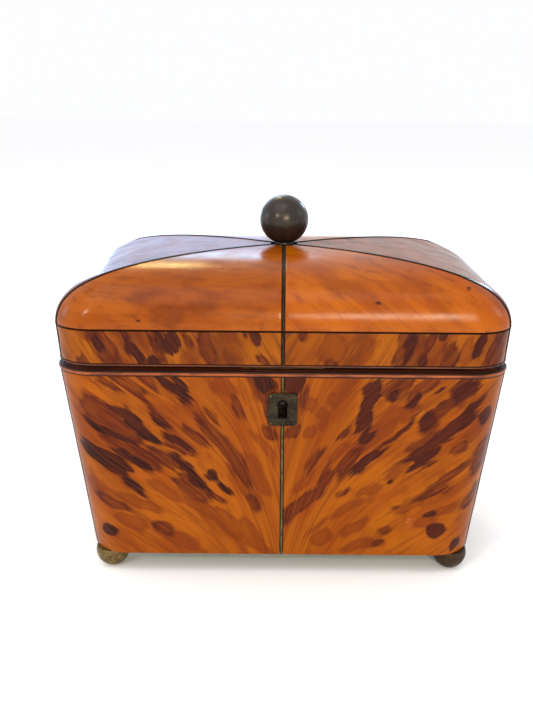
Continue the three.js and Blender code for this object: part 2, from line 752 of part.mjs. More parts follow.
for (const [side, x] of [['left', -HINGE.x], ['right', HINGE.x]]) {
  const parts = [
    piece(`hinge_lower_leaf_${side}`, lowerLeaf, 'brass'),
    piece(`hinge_upper_leaf_${side}`, upperLeaf, 'brass'),
    piece(`hinge_pin_${side}`, rodAlongX(HINGE.pin, HINGE.width, 16), 'brass'),
  ];
  parts[2].position.set(0, HINGE.y, HINGE.z);
  for (const part of parts) {
    part.position.x = x;
    hinges.add(part);
  }
}

// ---- The whole caddy -------------------------------------------------------------------

// The knuckles stand out behind the rim, so the box's middle moves forward by half of that.
const overhang = HINGE.y + HINGE.barrel - bodyHalf(RIM_TOP).y;
const caddy = new THREE.Group();
caddy.add(body, wells, lock, lid, hinges);
caddy.position.set(0, -overhang / 2, -footProfile[0][1]);
const tea_caddy = new THREE.Group();
tea_caddy.add(caddy);

export default tea_caddy;
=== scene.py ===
"""A Regency tortoiseshell tea caddy: shell panels between fine strings, built round the CAD frame.

Sizes are millimetres in the caddy's own coordinates: x to the right, y from front to back and
z up from the underside of the box. plain_object() and move_mm() turn them into metres in the frame.
"""
import math
import random
from collections import namedtuple

import bmesh
import bpy
import numpy as np
from mathutils import Matrix, Vector
from mathutils.kdtree import KDTree


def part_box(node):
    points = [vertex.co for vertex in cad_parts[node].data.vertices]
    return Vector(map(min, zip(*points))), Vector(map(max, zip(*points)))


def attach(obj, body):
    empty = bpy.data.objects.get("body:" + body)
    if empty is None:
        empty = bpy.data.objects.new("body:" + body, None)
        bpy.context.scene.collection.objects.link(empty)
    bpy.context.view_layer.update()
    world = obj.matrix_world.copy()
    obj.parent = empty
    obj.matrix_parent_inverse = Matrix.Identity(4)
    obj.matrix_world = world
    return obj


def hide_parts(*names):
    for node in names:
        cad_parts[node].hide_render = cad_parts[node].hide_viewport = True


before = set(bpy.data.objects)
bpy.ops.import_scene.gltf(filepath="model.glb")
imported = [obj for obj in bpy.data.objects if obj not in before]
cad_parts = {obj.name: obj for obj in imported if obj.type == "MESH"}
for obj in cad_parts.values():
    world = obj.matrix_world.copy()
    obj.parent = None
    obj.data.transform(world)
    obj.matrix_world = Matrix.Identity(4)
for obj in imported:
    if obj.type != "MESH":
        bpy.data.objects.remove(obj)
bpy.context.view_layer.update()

scene = bpy.context.scene
MM = 1000.0

# ---- Sizes taken from the frame ----------------------------------------------------------


def box_mm(node):
    lo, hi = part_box(node)
    return np.array(lo) * MM, np.array(hi) * MM


BASE = box_mm("board_bottom")
ORIGIN = np.array([0.0, (BASE[0][1] + BASE[1][1]) / 2, BASE[0][2]])


def caddy_box(node):
    lo, hi = box_mm(node)
    return lo - ORIGIN, hi - ORIGIN


Half = namedtuple("Half", "x y r share")
BODY_CORNER = 17.7
LID_CORNER = 17.4
STRING_SHARE = 0.7
FLARE = 9.4
SEAM = 0.15
STRING = 1.2
HIP_STRING = 1.0
HIP_SHOWN = 1.6
HIP_PROUD = 0.25
PANEL = 1.4
CROWN_RADIUS = 6.0
DOME_SHEET_START = 105  # height given to the dome's lower edge on its sheet

_, RIM = caddy_box("rim_edging")
_, EDGING = caddy_box("lid_edging")
_, LID = caddy_box("lid_stringing")
BODY_HEIGHT = caddy_box("shell_back")[1][2]
BAND = [caddy_box("band_back")[0][2], caddy_box("band_back")[1][2]]
DOME_BASE = caddy_box("dome_back")[0][2]
SHOULDER = DOME_BASE - SEAM
CROWN = LID[2] + 0.05
DOME_CURVE = [(1, 0), (1, 0.735), (0.69, 1.06), (0, 1)]
DOME_END = 0.975
SHARP_SHARE = 0.76  # the dome's corners sharpen where it is narrower than this
CROWN_CORNER = 0.8


def body_half(z):
    inwards = FLARE * (RIM[2] - z) / BODY_HEIGHT
    return Half(RIM[0] - inwards, RIM[1] - inwards, BODY_CORNER, STRING_SHARE)


def lid_half(z):
    rise = (z - EDGING[2]) / (SHOULDER - EDGING[2])
    x = EDGING[0] + (LID[0] - EDGING[0]) * rise
    y = EDGING[1] + (LID[1] - EDGING[1]) * rise
    return Half(x, y, LID_CORNER, STRING_SHARE)


def smoothstep(value, low, high):
    share = np.clip((value - low) / (high - low), 0, 1)
    return share * share * (3 - 2 * share)


def dome_level(t):
    """Plan and height of the dome at t, from 0 at the shoulder to 1 at the crown."""
    weights = [(1 - t) ** 3, 3 * (1 - t) ** 2 * t, 3 * (1 - t) * t * t, t**3]
    share = sum(w * p[0] for w, p in zip(weights, DOME_CURVE))
    rise = sum(w * p[1] for w, p in zip(weights, DOME_CURVE))
    fade = math.sqrt(smoothstep(share, SHARP_SHARE, 1))
    corner = max(CROWN_CORNER, LID_CORNER * fade)
    half = Half(LID[0] * share, LID[1] * share, corner, 0.5 + (STRING_SHARE - 0.5) * fade)
    return half, DOME_BASE + (CROWN - DOME_BASE) * rise


# ---- Outlines ----------------------------------------------------------------------------


def lengths(half):
    """Lengths of half the front, one corner's arc and one flat side."""
    return half.x - half.r, half.r * math.pi / 2, 2 * (half.y - half.r)


def around(half, s):
    """Plan points at distances s along the outline, from the middle of the front to the right."""
    front, quarter, side = lengths(half)
    turn = 2 * (front + quarter) + side
    s = np.asarray(s, float)
    run = np.where(s > turn, 2 * turn - s, np.abs(s))
    mirror = np.where((s > turn) | (s < 0), -1.0, 1.0)
    first = np.clip(run - front, 0, quarter) / half.r
    flat = np.clip(run - front - quarter, 0, side)
    second = np.clip(run - front - quarter - side, 0, quarter) / half.r
    back = np.clip(run - front - 2 * quarter - side, 0, front)
    x = np.minimum(run, front) + half.r * np.sin(first) - half.r * (1 - np.cos(second)) - back
    y = -half.y + half.r * (1 - np.cos(first)) + flat + half.r * np.sin(second)
    return x * mirror, y


def front_string(half):
    front, quarter, _ = lengths(half)
    return front + half.share * quarter


def back_string(half):
    front, quarter, side = lengths(half)
    return front + quarter + side + (1 - half.share) * quarter


def whole_turn(half):
    front, quarter, side = lengths(half)
    return 2 * (2 * (front + quarter) + side)


def spaced(start, end, count, edge):
    """Steps from start to end, close together at both ends where the edge is rounded."""
    near = edge * np.array([0, 0.08, 0.3, 0.62])
    middle = np.linspace(start + edge, end - edge, count)
    return np.concatenate([start + near, middle, end - near[::-1]])


# ---- Meshes ------------------------------------------------------------------------------

RIPPLES = random.Random(7)
WAVES = [
    (np.array([RIPPLES.uniform(-1, 1) for _ in range(3)]) * 0.32, RIPPLES.uniform(0, 6.28))
    for _ in range(7)
]
SHARP_ANGLE = 35


def ripple(points):
    """A slow unevenness between -1 and 1, as hand-laid veneer has."""
    return sum(np.sin(points @ wave + phase) for wave, phase in WAVES) / len(WAVES)


def plain_object(name, points, faces):
    mesh = bpy.data.meshes.new(name)
    world = (np.asarray(points, float) + ORIGIN) / MM
    mesh.from_pydata([tuple(p) for p in world], [], faces)
    edit = bmesh.new()
    edit.from_mesh(mesh)
    bmesh.ops.recalc_face_normals(edit, faces=edit.faces)
    edit.to_mesh(mesh)
    edit.free()
    piece = bpy.data.objects.new(name, mesh)
    scene.collection.objects.link(piece)
    return piece


def new_object(name, points, faces, material, body, slot=None, replaces=()):
    """A closed mesh from caddy millimetres that rides on a body."""
    piece = plain_object(name, points, faces)
    piece.data.shade_smooth()
    piece.data.set_sharp_from_angle(angle=math.radians(SHARP_ANGLE))
    piece.data.materials.append(material)
    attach(piece, body)
    if replaces:
        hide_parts(*replaces)
    return piece


def store(piece, name, values):
    layer = piece.data.attributes.new(name, "FLOAT_VECTOR", "POINT")
    layer.data.foreach_set("vector", np.asarray(values, np.float32).ravel())


def grid_normals(grid):
    across = np.gradient(grid, axis=1)
    up = np.gradient(grid, axis=0)
    normals = np.cross(across, up)
    return normals / np.maximum(np.linalg.norm(normals, axis=2, keepdims=True), 1e-9)


def border_distance(grid):
    """Distance of each grid point from the nearest edge of the grid, along the grid lines."""
    nearest = np.full(grid.shape[:2], 1e9)
    for axis in (0, 1):
        steps = np.linalg.norm(np.diff(grid, axis=axis), axis=2)
        pad = [(1, 0), (0, 0)] if axis == 0 else [(0, 0), (1, 0)]
        run = np.pad(np.cumsum(steps, axis=axis), pad)
        total = run[-1:, :] if axis == 0 else run[:, -1:]
        nearest = np.minimum(nearest, np.minimum(run, total - run))
    return nearest


def grid_faces(rows, columns):
    """Faces of a slab: outer grid, inner grid and the four edges between them."""
    def at(i, j, inner):
        return i * columns + j + inner * rows * columns
    faces = []
    for i in range(rows - 1):
        for j in range(columns - 1):
            for inner in (0, 1):
                corners = ((i, j), (i, j + 1), (i + 1, j + 1), (i + 1, j))
                faces.append([at(*corner, inner) for corner in corners])
    rim = [(0, j) for j in range(columns)] + [(i, columns - 1) for i in range(1, rows)]
    rim += [(rows - 1, j) for j in range(columns - 2, -1, -1)] + [(i, 0) for i in range(rows - 2, 0, -1)]
    for a, b in zip(rim, rim[1:] + rim[:1]):
        faces.append([at(*a, 0), at(*b, 0), at(*b, 1), at(*a, 1)])
    return faces


def slab(name, grid, material, body, thick=PANEL, edge=0.3, wave=0.05, proud=0.0, flip=False, **more):
    """A slab whose outer face follows a grid of points, with rounded edges."""
    normals = grid_normals(grid)
    distance = np.minimum(border_distance(grid), edge)
    drop = edge - np.sqrt(np.maximum(edge**2 - (edge - distance) ** 2, 0))
    height = proud - drop
    if wave:
        height = height + wave * ripple(grid)
    outer = grid + normals * height[..., None]
    inner = grid - normals * thick
    points = np.concatenate([outer.reshape(-1, 3), inner.reshape(-1, 3)])
    if flip:
        points = points * np.array([-1, 1, 1])
    return new_object(name, points, grid_faces(*grid.shape[:2]), material, body, **more)


def ring(name, half_at, profile, material, body, **more):
    """A closed profile of (outwards, height) pairs taken round an outline."""
    columns = []
    for out, z in profile:
        half = half_at(z)
        grown = Half(half.x + out, half.y + out, half.r + out, half.share)
        front, quarter, side = lengths(grown)
        corner = np.linspace(0, quarter, 19)
        right = np.concatenate([
            np.linspace(0, front, 5)[:-1],
            front + corner,
            (front + quarter + np.linspace(0, side, 5))[1:-1],
            front + quarter + side + corner,
            (front + 2 * quarter + side + np.linspace(0, front, 5))[1:],
        ])
        stations = np.concatenate([right, whole_turn(grown) - right[-2:0:-1]])
        x, y = around(grown, stations)
        columns.append(np.stack([x, y, np.full_like(x, z)], 1))
    size = len(profile)
    points = np.stack(columns, 1).reshape(-1, 3)
    count = len(columns[0])
    faces = []
    for i in range(count):
        for j in range(size):
            near, far = i * size, ((i + 1) % count) * size
            after = (j + 1) % size
            faces.append([near + j, near + after, far + after, far + j])
    return new_object(name, points, faces, material, body, **more)


def lathe(name, profile, centre, material, body, steps=64, rough=0.0, **more):
    """A profile of (radius, height) pairs turned about a vertical axis, from pole to pole."""
    rows = profile[1:-1]
    angles = np.arange(steps) * 2 * math.pi / steps
    points = [(0, 0, profile[0][1])]
    for radius, z in rows:
        points += [(radius * math.cos(a), radius * math.sin(a), z) for a in angles]
    points.append((0, 0, profile[-1][1]))
    points = np.array(points)
    if rough:
        points[:, :2] *= 1 + rough * ripple(points * 5)[:, None]
    last = len(points) - 1
    faces = []
    for k in range(steps):
        after = (k + 1) % steps
        faces.append([0, 1 + after, 1 + k])
        faces.append([last, last - steps + k, last - steps + after])
        for row in range(len(rows) - 1):
            low, high = 1 + row * steps, 1 + (row + 1) * steps
            faces.append([low + k, low + after, high + after, high + k])
    return new_object(name, points + np.array(centre), faces, material, body, **more)


def arc(radius, centre, start, end, count):
    """Profile points on a circle, with angles in degrees from straight down."""
    turns = np.radians(np.linspace(start, end, count))
    return [(radius * math.sin(a), centre - radius * math.cos(a)) for a in turns]


def cut_away(piece, cutter):
    """Takes the cutter's shape out of a piece. Kept points keep their flow and marks."""
    cutting = piece.modifiers.new("cut", "BOOLEAN")
    cutting.object = cutter
    cutting.solver = "EXACT"
    graph = bpy.context.evaluated_depsgraph_get()
    result = bpy.data.meshes.new_from_object(piece.evaluated_get(graph))
    piece.modifiers.clear()
    old = piece.data
    piece.data = result
    tree = KDTree(len(old.vertices))
    for vertex in old.vertices:
        tree.insert(vertex.co, vertex.index)
    tree.balance()
    nearest = [tree.find(vertex.co)[1] for vertex in result.vertices]
    for name in ("flow", "marks"):
        if name in old.attributes:
            values = np.zeros(3 * len(old.vertices), np.float32)
            old.attributes[name].data.foreach_get("vector", values)
            if name in result.attributes:
                result.attributes.remove(result.attributes[name])
            store(piece, name, values.reshape(-1, 3)[nearest])
    bpy.data.meshes.remove(old)


# ---- Materials ---------------------------------------------------------------------------


def srgb(red, green, blue):
    """Linear colour of an sRGB triple from 0 to 255."""
    def linear(value):
        value /= 255
        return value / 12.92 if value <= 0.04045 else ((value + 0.055) / 1.055) ** 2.4
    return (linear(red), linear(green), linear(blue), 1.0)


class Shader:
    """Adds nodes to one material and links them. Colours are sRGB triples from 0 to 255."""

    def __init__(self, name, **sockets):
        self.material = bpy.data.materials.new(name)
        self.material.use_nodes = True
        self.tree = self.material.node_tree
        self.surface = self.tree.nodes["Principled BSDF"]
        self.set(**sockets)

    def set(self, **sockets):
        for socket, value in sockets.items():
            self.feed(self.surface.inputs[socket.replace("_", " ")], value)
        return self.material

    def feed(self, socket, value):
        if isinstance(value, bpy.types.NodeSocket):
            self.tree.links.new(value, socket)
        else:
            is_triple = socket.type == "RGBA" and len(value) == 3
            socket.default_value = srgb(*value) if is_triple else value

    def node(self, kind, inputs, **settings):
        made = self.tree.nodes.new(kind)
        for key, value in settings.items():
            setattr(made, key, value)
        for key, value in inputs.items():
            self.feed(made.inputs[key], value)
        return made.outputs

    def attribute(self, name):
        return self.node("ShaderNodeAttribute", {}, attribute_name=name)["Vector"]

    def object_mm(self):
        return self.scaled(self.node("ShaderNodeTexCoord", {})["Object"], (MM, MM, MM))

    def scaled(self, vector, scale, move=(0, 0, 0)):
        return self.node("ShaderNodeMapping", {"Vector": vector, "Scale": scale, "Location": move})[0]

    def split(self, vector):
        return self.node("ShaderNodeSeparateXYZ", {0: vector})[:3]

    def noise(self, vector, scale, detail=3, rough=0.55, move=(0, 0, 0)):
        """Cloudy noise. The scale is one number, or one for each axis."""
        stretched = self.scaled(vector, scale if isinstance(scale, tuple) else (scale,) * 3, move)
        inputs = {"Vector": stretched, "Scale": 1.0, "Detail": detail, "Roughness": rough}
        return self.node("ShaderNodeTexNoise", inputs)["Fac"]

    def math(self, operation, *values):
        return self.node("ShaderNodeMath", dict(enumerate(values)), operation=operation)[0]

    def plus(self, a, b):
        return self.math("ADD", a, b)

    def times(self, a, b):
        return self.math("MULTIPLY", a, b)

    def ramp(self, value, low, high, start=0.0, end=1.0):
        inputs = {"Value": value, "From Min": low, "From Max": high, "To Min": start, "To Max": end}
        return self.node("ShaderNodeMapRange", inputs, interpolation_type="SMOOTHSTEP")[0]

    def mix(self, factor, a, b):
        return self.node("ShaderNodeMix", {0: factor, 6: a, 7: b}, data_type="RGBA")[2]

    def tint(self, colour, other, value, low, high, most=1.0):
        """Lays another colour over the first as a value goes from low to high."""
        return self.mix(self.ramp(value, low, high, 0, most), colour, other)

    def bump(self, height, strength, distance):
        inputs = {"Height": height, "Strength": strength, "Distance": distance / MM}
        return self.node("ShaderNodeBump", inputs)[0]


def amber(shader, flow, streaks, ground, pale, cloud, streaky, haze):
    """The translucent ground of the shell, clouded and streaked along the sheet."""
    clouds = shader.noise(flow, (0.03, 0.07, 1), 3, 0.5, (31, 7, 0))
    fibres = shader.noise(flow, (0.1, 2.4, 1), 2, 0.6, (50, 11, 0))
    blotches = shader.noise(flow, (0.11, 0.2, 1), 4, 0.6, (77, 19, 0))
    mist = shader.noise(flow, (0.035, 0.06, 1), 4, 0.55, (12, 5, 0))
    colour = shader.tint(ground, pale, clouds, 0.35, 0.68)
    colour = shader.tint(colour, cloud, streaks, 0.46, 0.68, 0.62 * streaky)
    colour = shader.tint(colour, cloud, blotches, 0.54, 0.7, 0.45)
    colour = shader.tint(colour, cloud, mist, 0.48, 0.68, haze)
    return shader.tint(colour, cloud, fibres, 0.42, 0.75, 0.26 * streaky)


def patched(shader, flow, colour, deep):
    """Lays the faint, middle and dark patches over the ground, with ragged edges and veins."""
    wander = shader.noise(flow, (0.05, 0.45, 1), 3)
    ragged = shader.noise(flow, (0.16, 1.05, 1), 4, 0.65)
    calm = shader.ramp(shader.split(shader.object_mm())[2], 28, 48, 0.3, 1.0)
    fine_push = shader.times(shader.math("SUBTRACT", ragged, 0.5), 2.1)
    push = shader.math("MULTIPLY_ADD", shader.math("SUBTRACT", wander, 0.5), 4.2, fine_push)
    push = shader.times(push, calm)
    marks = shader.split(shader.attribute("marks"))
    dark_edge, middle_edge, faint_edge = (shader.plus(depth, push) for depth in marks)

    soft = shader.ramp(faint_edge, -1.0, 1.0, 0, 0.5)
    outline = shader.times(shader.ramp(faint_edge, -0.5, 0.1), shader.ramp(faint_edge, 1.3, 0.3))
    colour = shader.mix(shader.math("MULTIPLY_ADD", outline, 0.26, soft), colour, (96, 36, 5))

    grain = shader.ramp(shader.noise(flow, (0.05, 0.8, 1), 3, 0.6, (9, 40, 0)), 0.35, 0.66)
    veil = shader.ramp(shader.noise(flow, (0.06, 0.5, 1), 3, 0.6, (23, 61, 0)), 0.35, 0.62, 0.62, 0.96)
    middle_mask = shader.times(shader.ramp(middle_edge, -0.8, 0.7), veil)
    brown = shader.tint(shader.mix(grain, (64, 18, 6), (96, 38, 8)), (60, 15, 6), middle_edge, 1.3, 0.3)
    colour = shader.mix(middle_mask, colour, brown)

    core = shader.tint(shader.mix(grain, deep, (68, 24, 9)), (46, 11, 6), dark_edge, 1.0, 0.1)
    return shader.tint(colour, core, dark_edge, -0.55, 0.6, 0.97)


def scuffed(shader, place, colour, spot):
    """A small rubbed place round a spot, given as (x, z)."""
    x, _, z = shader.split(place)
    aside = shader.times(shader.math("SUBTRACT", x, spot[0]), 0.42)
    above = shader.times(shader.math("SUBTRACT", z, spot[1]), 0.3)
    away = shader.plus(shader.math("POWER", aside, 2), shader.math("POWER", above, 2))
    torn = shader.noise(place, (0.75, 0.75, 0.55), 3, 0.6, (6, 2, 9))
    rubbed = shader.times(shader.ramp(away, 1.0, 0.3), shader.ramp(torn, 0.47, 0.58, 0, 0.62))
    return shader.mix(rubbed, colour, (172, 90, 52))


def shell_material(name, ground, pale, cloud, deep, shine=0.1, streaky=1.0, haze=0.25, scuff=None):
    """Tortoiseshell: an amber ground under ragged patches, polished over old wear."""
    shader = Shader(name, Specular_IOR_Level=shine)
    flow = shader.attribute("flow")
    streaks = shader.noise(flow, (0.03, 0.42, 1), 4, 0.62, (3, 90, 0))
    colour = amber(shader, flow, streaks, ground, pale, cloud, streaky, haze)
    colour = patched(shader, flow, colour, deep)
    place = shader.object_mm()
    if scuff:
        colour = scuffed(shader, place, colour, scuff)
    pits = shader.noise(place, 2.4, 2, 0.5)
    scratches = shader.noise(flow, (0.4, 9, 1), 2, 0.5, (70, 3, 0))
    wear = shader.noise(place, 0.09, 3, 0.6)
    heights = shader.plus(shader.times(pits, 0.5), shader.times(scratches, 0.35))
    heights = shader.plus(heights, shader.times(streaks, 1.2))
    rough = shader.ramp(wear, 0.3, 0.72, 0.15, 0.27)
    return shader.set(Base_Color=colour, Roughness=rough, Normal=shader.bump(heights, 0.35, 0.06))


def string_material(name, middle, edge, half_width, metallic, speck=0.0, shine=0.05):
    """A fine inlaid string: a middle tone with darker edges and dulled patches."""
    shader = Shader(name, Metallic=metallic, Specular_IOR_Level=shine)
    flow = shader.attribute("flow")
    across = shader.split(flow)[1]
    patches = shader.noise(flow, (0.16, 0.3, 1), 4, 0.6)
    fine = shader.noise(flow, (1.1, 1.6, 1), 3, 0.6)
    off = shader.times(shader.math("ABSOLUTE", across), 1 / half_width)
    tone = shader.tint(middle, edge, patches, 0.35, 0.65, 0.75)
    colour = shader.tint(tone, edge, shader.plus(off, shader.times(fine, 0.3)), 0.72, 0.98)
    if speck:
        glints = shader.noise(flow, (2.2, 2.2, 1), 1, 0.5, (4, 4, 0))
        colour = shader.tint(colour, (190, 165, 120), glints, 0.66, 0.74, speck)
    rough = shader.ramp(fine, 0.3, 0.7, 0.32, 0.6)
    return shader.set(Base_Color=colour, Roughness=rough, Normal=shader.bump(fine, 0.3, 0.05))


def foot_material(name, tone, tarnish, bright, stain):
    """Cast brass that was never polished well: pitted, stained and rubbed on the high spots."""
    shader = Shader(name, Metallic=0.55)
    place = shader.object_mm()
    stains = shader.noise(place, 0.26, 4, 0.65)
    mottle = shader.noise(place, 0.95, 4, 0.7, (4, 8, 2))
    pits = shader.noise(place, 2.6, 3, 0.65, (9, 1, 5))
    colour = shader.tint(tone, stain, stains, 0.4, 0.6, 0.8)
    colour = shader.tint(colour, tarnish, mottle, 0.47, 0.66, 0.75)
    colour = shader.tint(colour, tarnish, pits, 0.52, 0.68, 0.7)
    colour = shader.tint(colour, bright, mottle, 0.44, 0.3, 0.5)
    heights = shader.math("MULTIPLY_ADD", mottle, 1.4, shader.times(pits, 0.8))
    rough = shader.ramp(mottle, 0.35, 0.65, 0.4, 0.62)
    return shader.set(Base_Color=colour, Roughness=rough, Normal=shader.bump(heights, 0.75, 0.22))


def metal_material(name, tone, tarnish, bright, rough=0.36, metallic=0.9, grain=0.35):
    """Old metal: a worn bright tone under patches of tarnish, with fine scratches."""
    shader = Shader(name, Metallic=metallic)
    place = shader.object_mm()
    patches = shader.noise(place, 0.22, 5, 0.65)
    spots = shader.noise(place, 1.9, 3, 0.6)
    scratches = shader.noise(place, (0.35, 0.35, 7), 2, 0.5)
    colour = shader.tint(tone, tarnish, patches, 0.38, 0.62)
    colour = shader.tint(colour, tarnish, spots, 0.55, 0.7, 0.55)
    colour = shader.tint(colour, bright, scratches, 0.6, 0.75, 0.35)
    heights = shader.plus(spots, shader.times(scratches, 0.5))
    roughness = shader.ramp(patches, 0.3, 0.7, rough - 0.08, rough + 0.18)
    return shader.set(Base_Color=colour, Roughness=roughness, Normal=shader.bump(heights, grain, 0.12))


def wood_material(name, light, dark, along=(1, 0, 0), gloss=0.45):
    """Mahogany with long grain, short dark pores and slow colour bands."""
    shader = Shader(name, Specular_IOR_Level=0.2)
    place = shader.object_mm()
    bands = shader.noise(place, tuple(0.035 if part else 0.5 for part in along), 5, 0.6)
    pores = shader.noise(place, tuple(0.22 if part else 4.5 for part in along), 2, 0.5)
    slow = shader.noise(place, 0.03, 2, 0.5)
    colour = shader.tint(light, dark, bands, 0.35, 0.65)
    colour = shader.tint(colour, (38, 18, 12), pores, 0.55, 0.68, 0.6)
    colour = shader.tint(colour, dark, slow, 0.4, 0.6, 0.25)
    heights = shader.math("SUBTRACT", bands, shader.times(pores, 0.6))
    rough = shader.ramp(bands, 0.3, 0.7, gloss, gloss + 0.15)
    return shader.set(Base_Color=colour, Roughness=rough, Normal=shader.bump(heights, 0.3, 0.15))


def cloth_material(name, base, nap, weave):
    """Velvet or baize: a soft nap, brushed into lighter and darker patches."""
    shader = Shader(name, Roughness=0.95, Sheen_Weight=0.7, Sheen_Roughness=0.4, Sheen_Tint=nap)
    place = shader.object_mm()
    brushed = shader.noise(place, 0.12, 4, 0.6)
    fibres = shader.noise(place, weave, 3, 0.7)
    shade = tuple(part * 0.35 for part in srgb(*base)[:3]) + (1,)
    colour = shader.tint(base, nap, brushed, 0.3, 0.7)
    colour = shader.tint(colour, shade, fibres, 0.35, 0.7, 0.45)
    return shader.set(Base_Color=colour, Normal=shader.bump(fibres, 0.7, 0.3))


def foil_material():
    """Dull tin foil, crumpled by hand into the wells."""
    shader = Shader("tin_foil", Metallic=0.85)
    place = shader.object_mm()
    cells = {"Vector": shader.scaled(place, (0.11, 0.11, 0.11)), "Scale": 1.0}
    creases = shader.node("ShaderNodeTexVoronoi", cells, feature="DISTANCE_TO_EDGE")["Distance"]
    crumple = shader.noise(place, 0.3, 4, 0.6)
    stains = shader.noise(place, 0.06, 4, 0.6)
    colour = shader.tint((168, 166, 160), (112, 104, 92), stains, 0.4, 0.65)
    heights = shader.plus(shader.ramp(creases, 0, 0.12), crumple)
    rough = shader.ramp(stains, 0.35, 0.65, 0.38, 0.62)
    return shader.set(Base_Color=colour, Roughness=rough, Normal=shader.bump(heights, 0.55, 0.5))


def bone_material():
    shader = Shader("bone", Coat_Weight=0.3, Coat_Roughness=0.2, Subsurface_Weight=0.15,
                    Subsurface_Scale=0.002)
    place = shader.object_mm()
    canals = shader.noise(place, (2.5, 2.5, 0.35), 3, 0.6)
    stains = shader.noise(place, 0.25, 3, 0.6)
    colour = shader.tint((222, 208, 172), (190, 165, 118), stains, 0.35, 0.7)
    colour = shader.tint(colour, (120, 88, 52), canals, 0.58, 0.72, 0.5)
    rough = shader.ramp(canals, 0.3, 0.7, 0.28, 0.45)
    return shader.set(Base_Color=colour, Roughness=rough, Normal=shader.bump(canals, 0.2, 0.08))


def bead_material(name, light, dark):
    """The brown shell of the thin beads on both edgings."""
    shader = Shader(name, Specular_IOR_Level=0.3)
    place = shader.object_mm()
    patches = shader.noise(place, (0.09, 0.09, 0.5), 4, 0.6)
    fine = shader.noise(place, 1.2, 3, 0.6)
    colour = shader.tint(light, dark, patches, 0.38, 0.66)
    colour = shader.tint(colour, dark, fine, 0.5, 0.75, 0.3)
    rough = shader.ramp(fine, 0.3, 0.7, 0.25, 0.4)
    return shader.set(Base_Color=colour, Roughness=rough, Normal=shader.bump(fine, 0.2, 0.06))


SHELL = shell_material("shell", (131, 60, 4), (148, 77, 7), (96, 38, 5), (18, 3, 3), haze=0.4)
SHELL_RIGHT = shell_material("shell_right", (131, 61, 3), (148, 78, 4), (99, 41, 4), (50, 12, 6), haze=0.35,
                             scuff=(56.5, 27))
SHELL_BAND = shell_material("shell_band", (122, 58, 5), (142, 76, 6), (82, 34, 6), (46, 11, 6), haze=0.8)
SHELL_RED = shell_material("shell_red", (133, 62, 5), (146, 74, 8), (90, 35, 6), (40, 9, 5), 0.15, 0.3, 0.7)
SHELL_GOLD = shell_material("shell_gold", (148, 69, 1), (162, 83, 1), (106, 43, 3), (44, 10, 5), 0.18, 0.5,
                            0.5)
SHELL_END = shell_material("shell_end", (108, 47, 6), (126, 60, 7), (70, 27, 8), (40, 10, 5), 0.09, 0.4, 0.9)
BEAD = bead_material("rim_bead_shell", (150, 72, 16), (92, 36, 10))
BEAD_DARK = bead_material("lid_bead_shell", (96, 42, 16), (52, 20, 10))
PEWTER = string_material("pewter_string", (106, 97, 62), (28, 22, 15), 0.54, 0.5, 0.4)
DARK = string_material("dark_string", (20, 13, 9), (5, 3, 2), 0.6, 0.0)
# Near black and without any reflection: painted shade on the crown disc under the finial's ball.
DARK_PAINTED_SHADE = string_material("dull_string", (16, 11, 8), (4, 3, 2), 0.6, 0.0, shine=0.0)
DARK_SPECKED = string_material("specked_string", (44, 38, 30), (8, 5, 4), 0.6, 0.2, 0.8)
PEWTER_PLAIN = metal_material("pewter_plain", (132, 126, 104), (84, 76, 56), (170, 166, 148), 0.4, 0.6)
BRASS = metal_material("brass", (150, 118, 62), (84, 60, 34), (206, 176, 112))
LOCK_BRASS = metal_material("lock_brass", (118, 92, 48), (70, 50, 28), (180, 152, 96))
PLATE_BRASS = metal_material("plate_brass", (47, 38, 19), (20, 14, 7), (142, 114, 62), 0.42, 0.7)
PIN_BRASS = metal_material("pin_brass", (96, 78, 48), (50, 38, 22), (150, 128, 84))
# Darkened lock metal for the lock case and the keyhole's sleeve: its dark tone is painted shade inside the
# keyhole.
LOCK_METAL_PAINTED_SHADE = metal_material("lock_iron", (44, 36, 26), (22, 16, 11), (104, 90, 62), 0.4, 0.75)
FOOT_OLIVE = foot_material("foot_olive", (112, 94, 46), (54, 42, 20), (150, 130, 76), (92, 66, 34))
FOOT_BROWN = foot_material("foot_brown", (48, 33, 12), (20, 12, 4), (84, 64, 30), (64, 39, 12))
FINIAL = metal_material("finial_bronze", (50, 42, 36), (42, 34, 29), (66, 58, 52), 0.24, 0.5, 0.03)
MAHOGANY = wood_material("mahogany", (128, 66, 38), (84, 40, 24))
MAHOGANY_SIDE = wood_material("mahogany_side", (124, 64, 38), (82, 38, 24), (0, 1, 0))
ROSEWOOD = wood_material("rosewood", (62, 27, 12), (32, 14, 8), (1, 0, 0), 0.4)
VELVET = cloth_material("velvet", (92, 16, 28), (150, 48, 56), 3.2)
BAIZE = cloth_material("baize", (28, 62, 40), (58, 98, 66), 2.4)
FOIL = foil_material()
BONE = bone_material()

# ---- Dark patches in the shell -----------------------------------------------------------

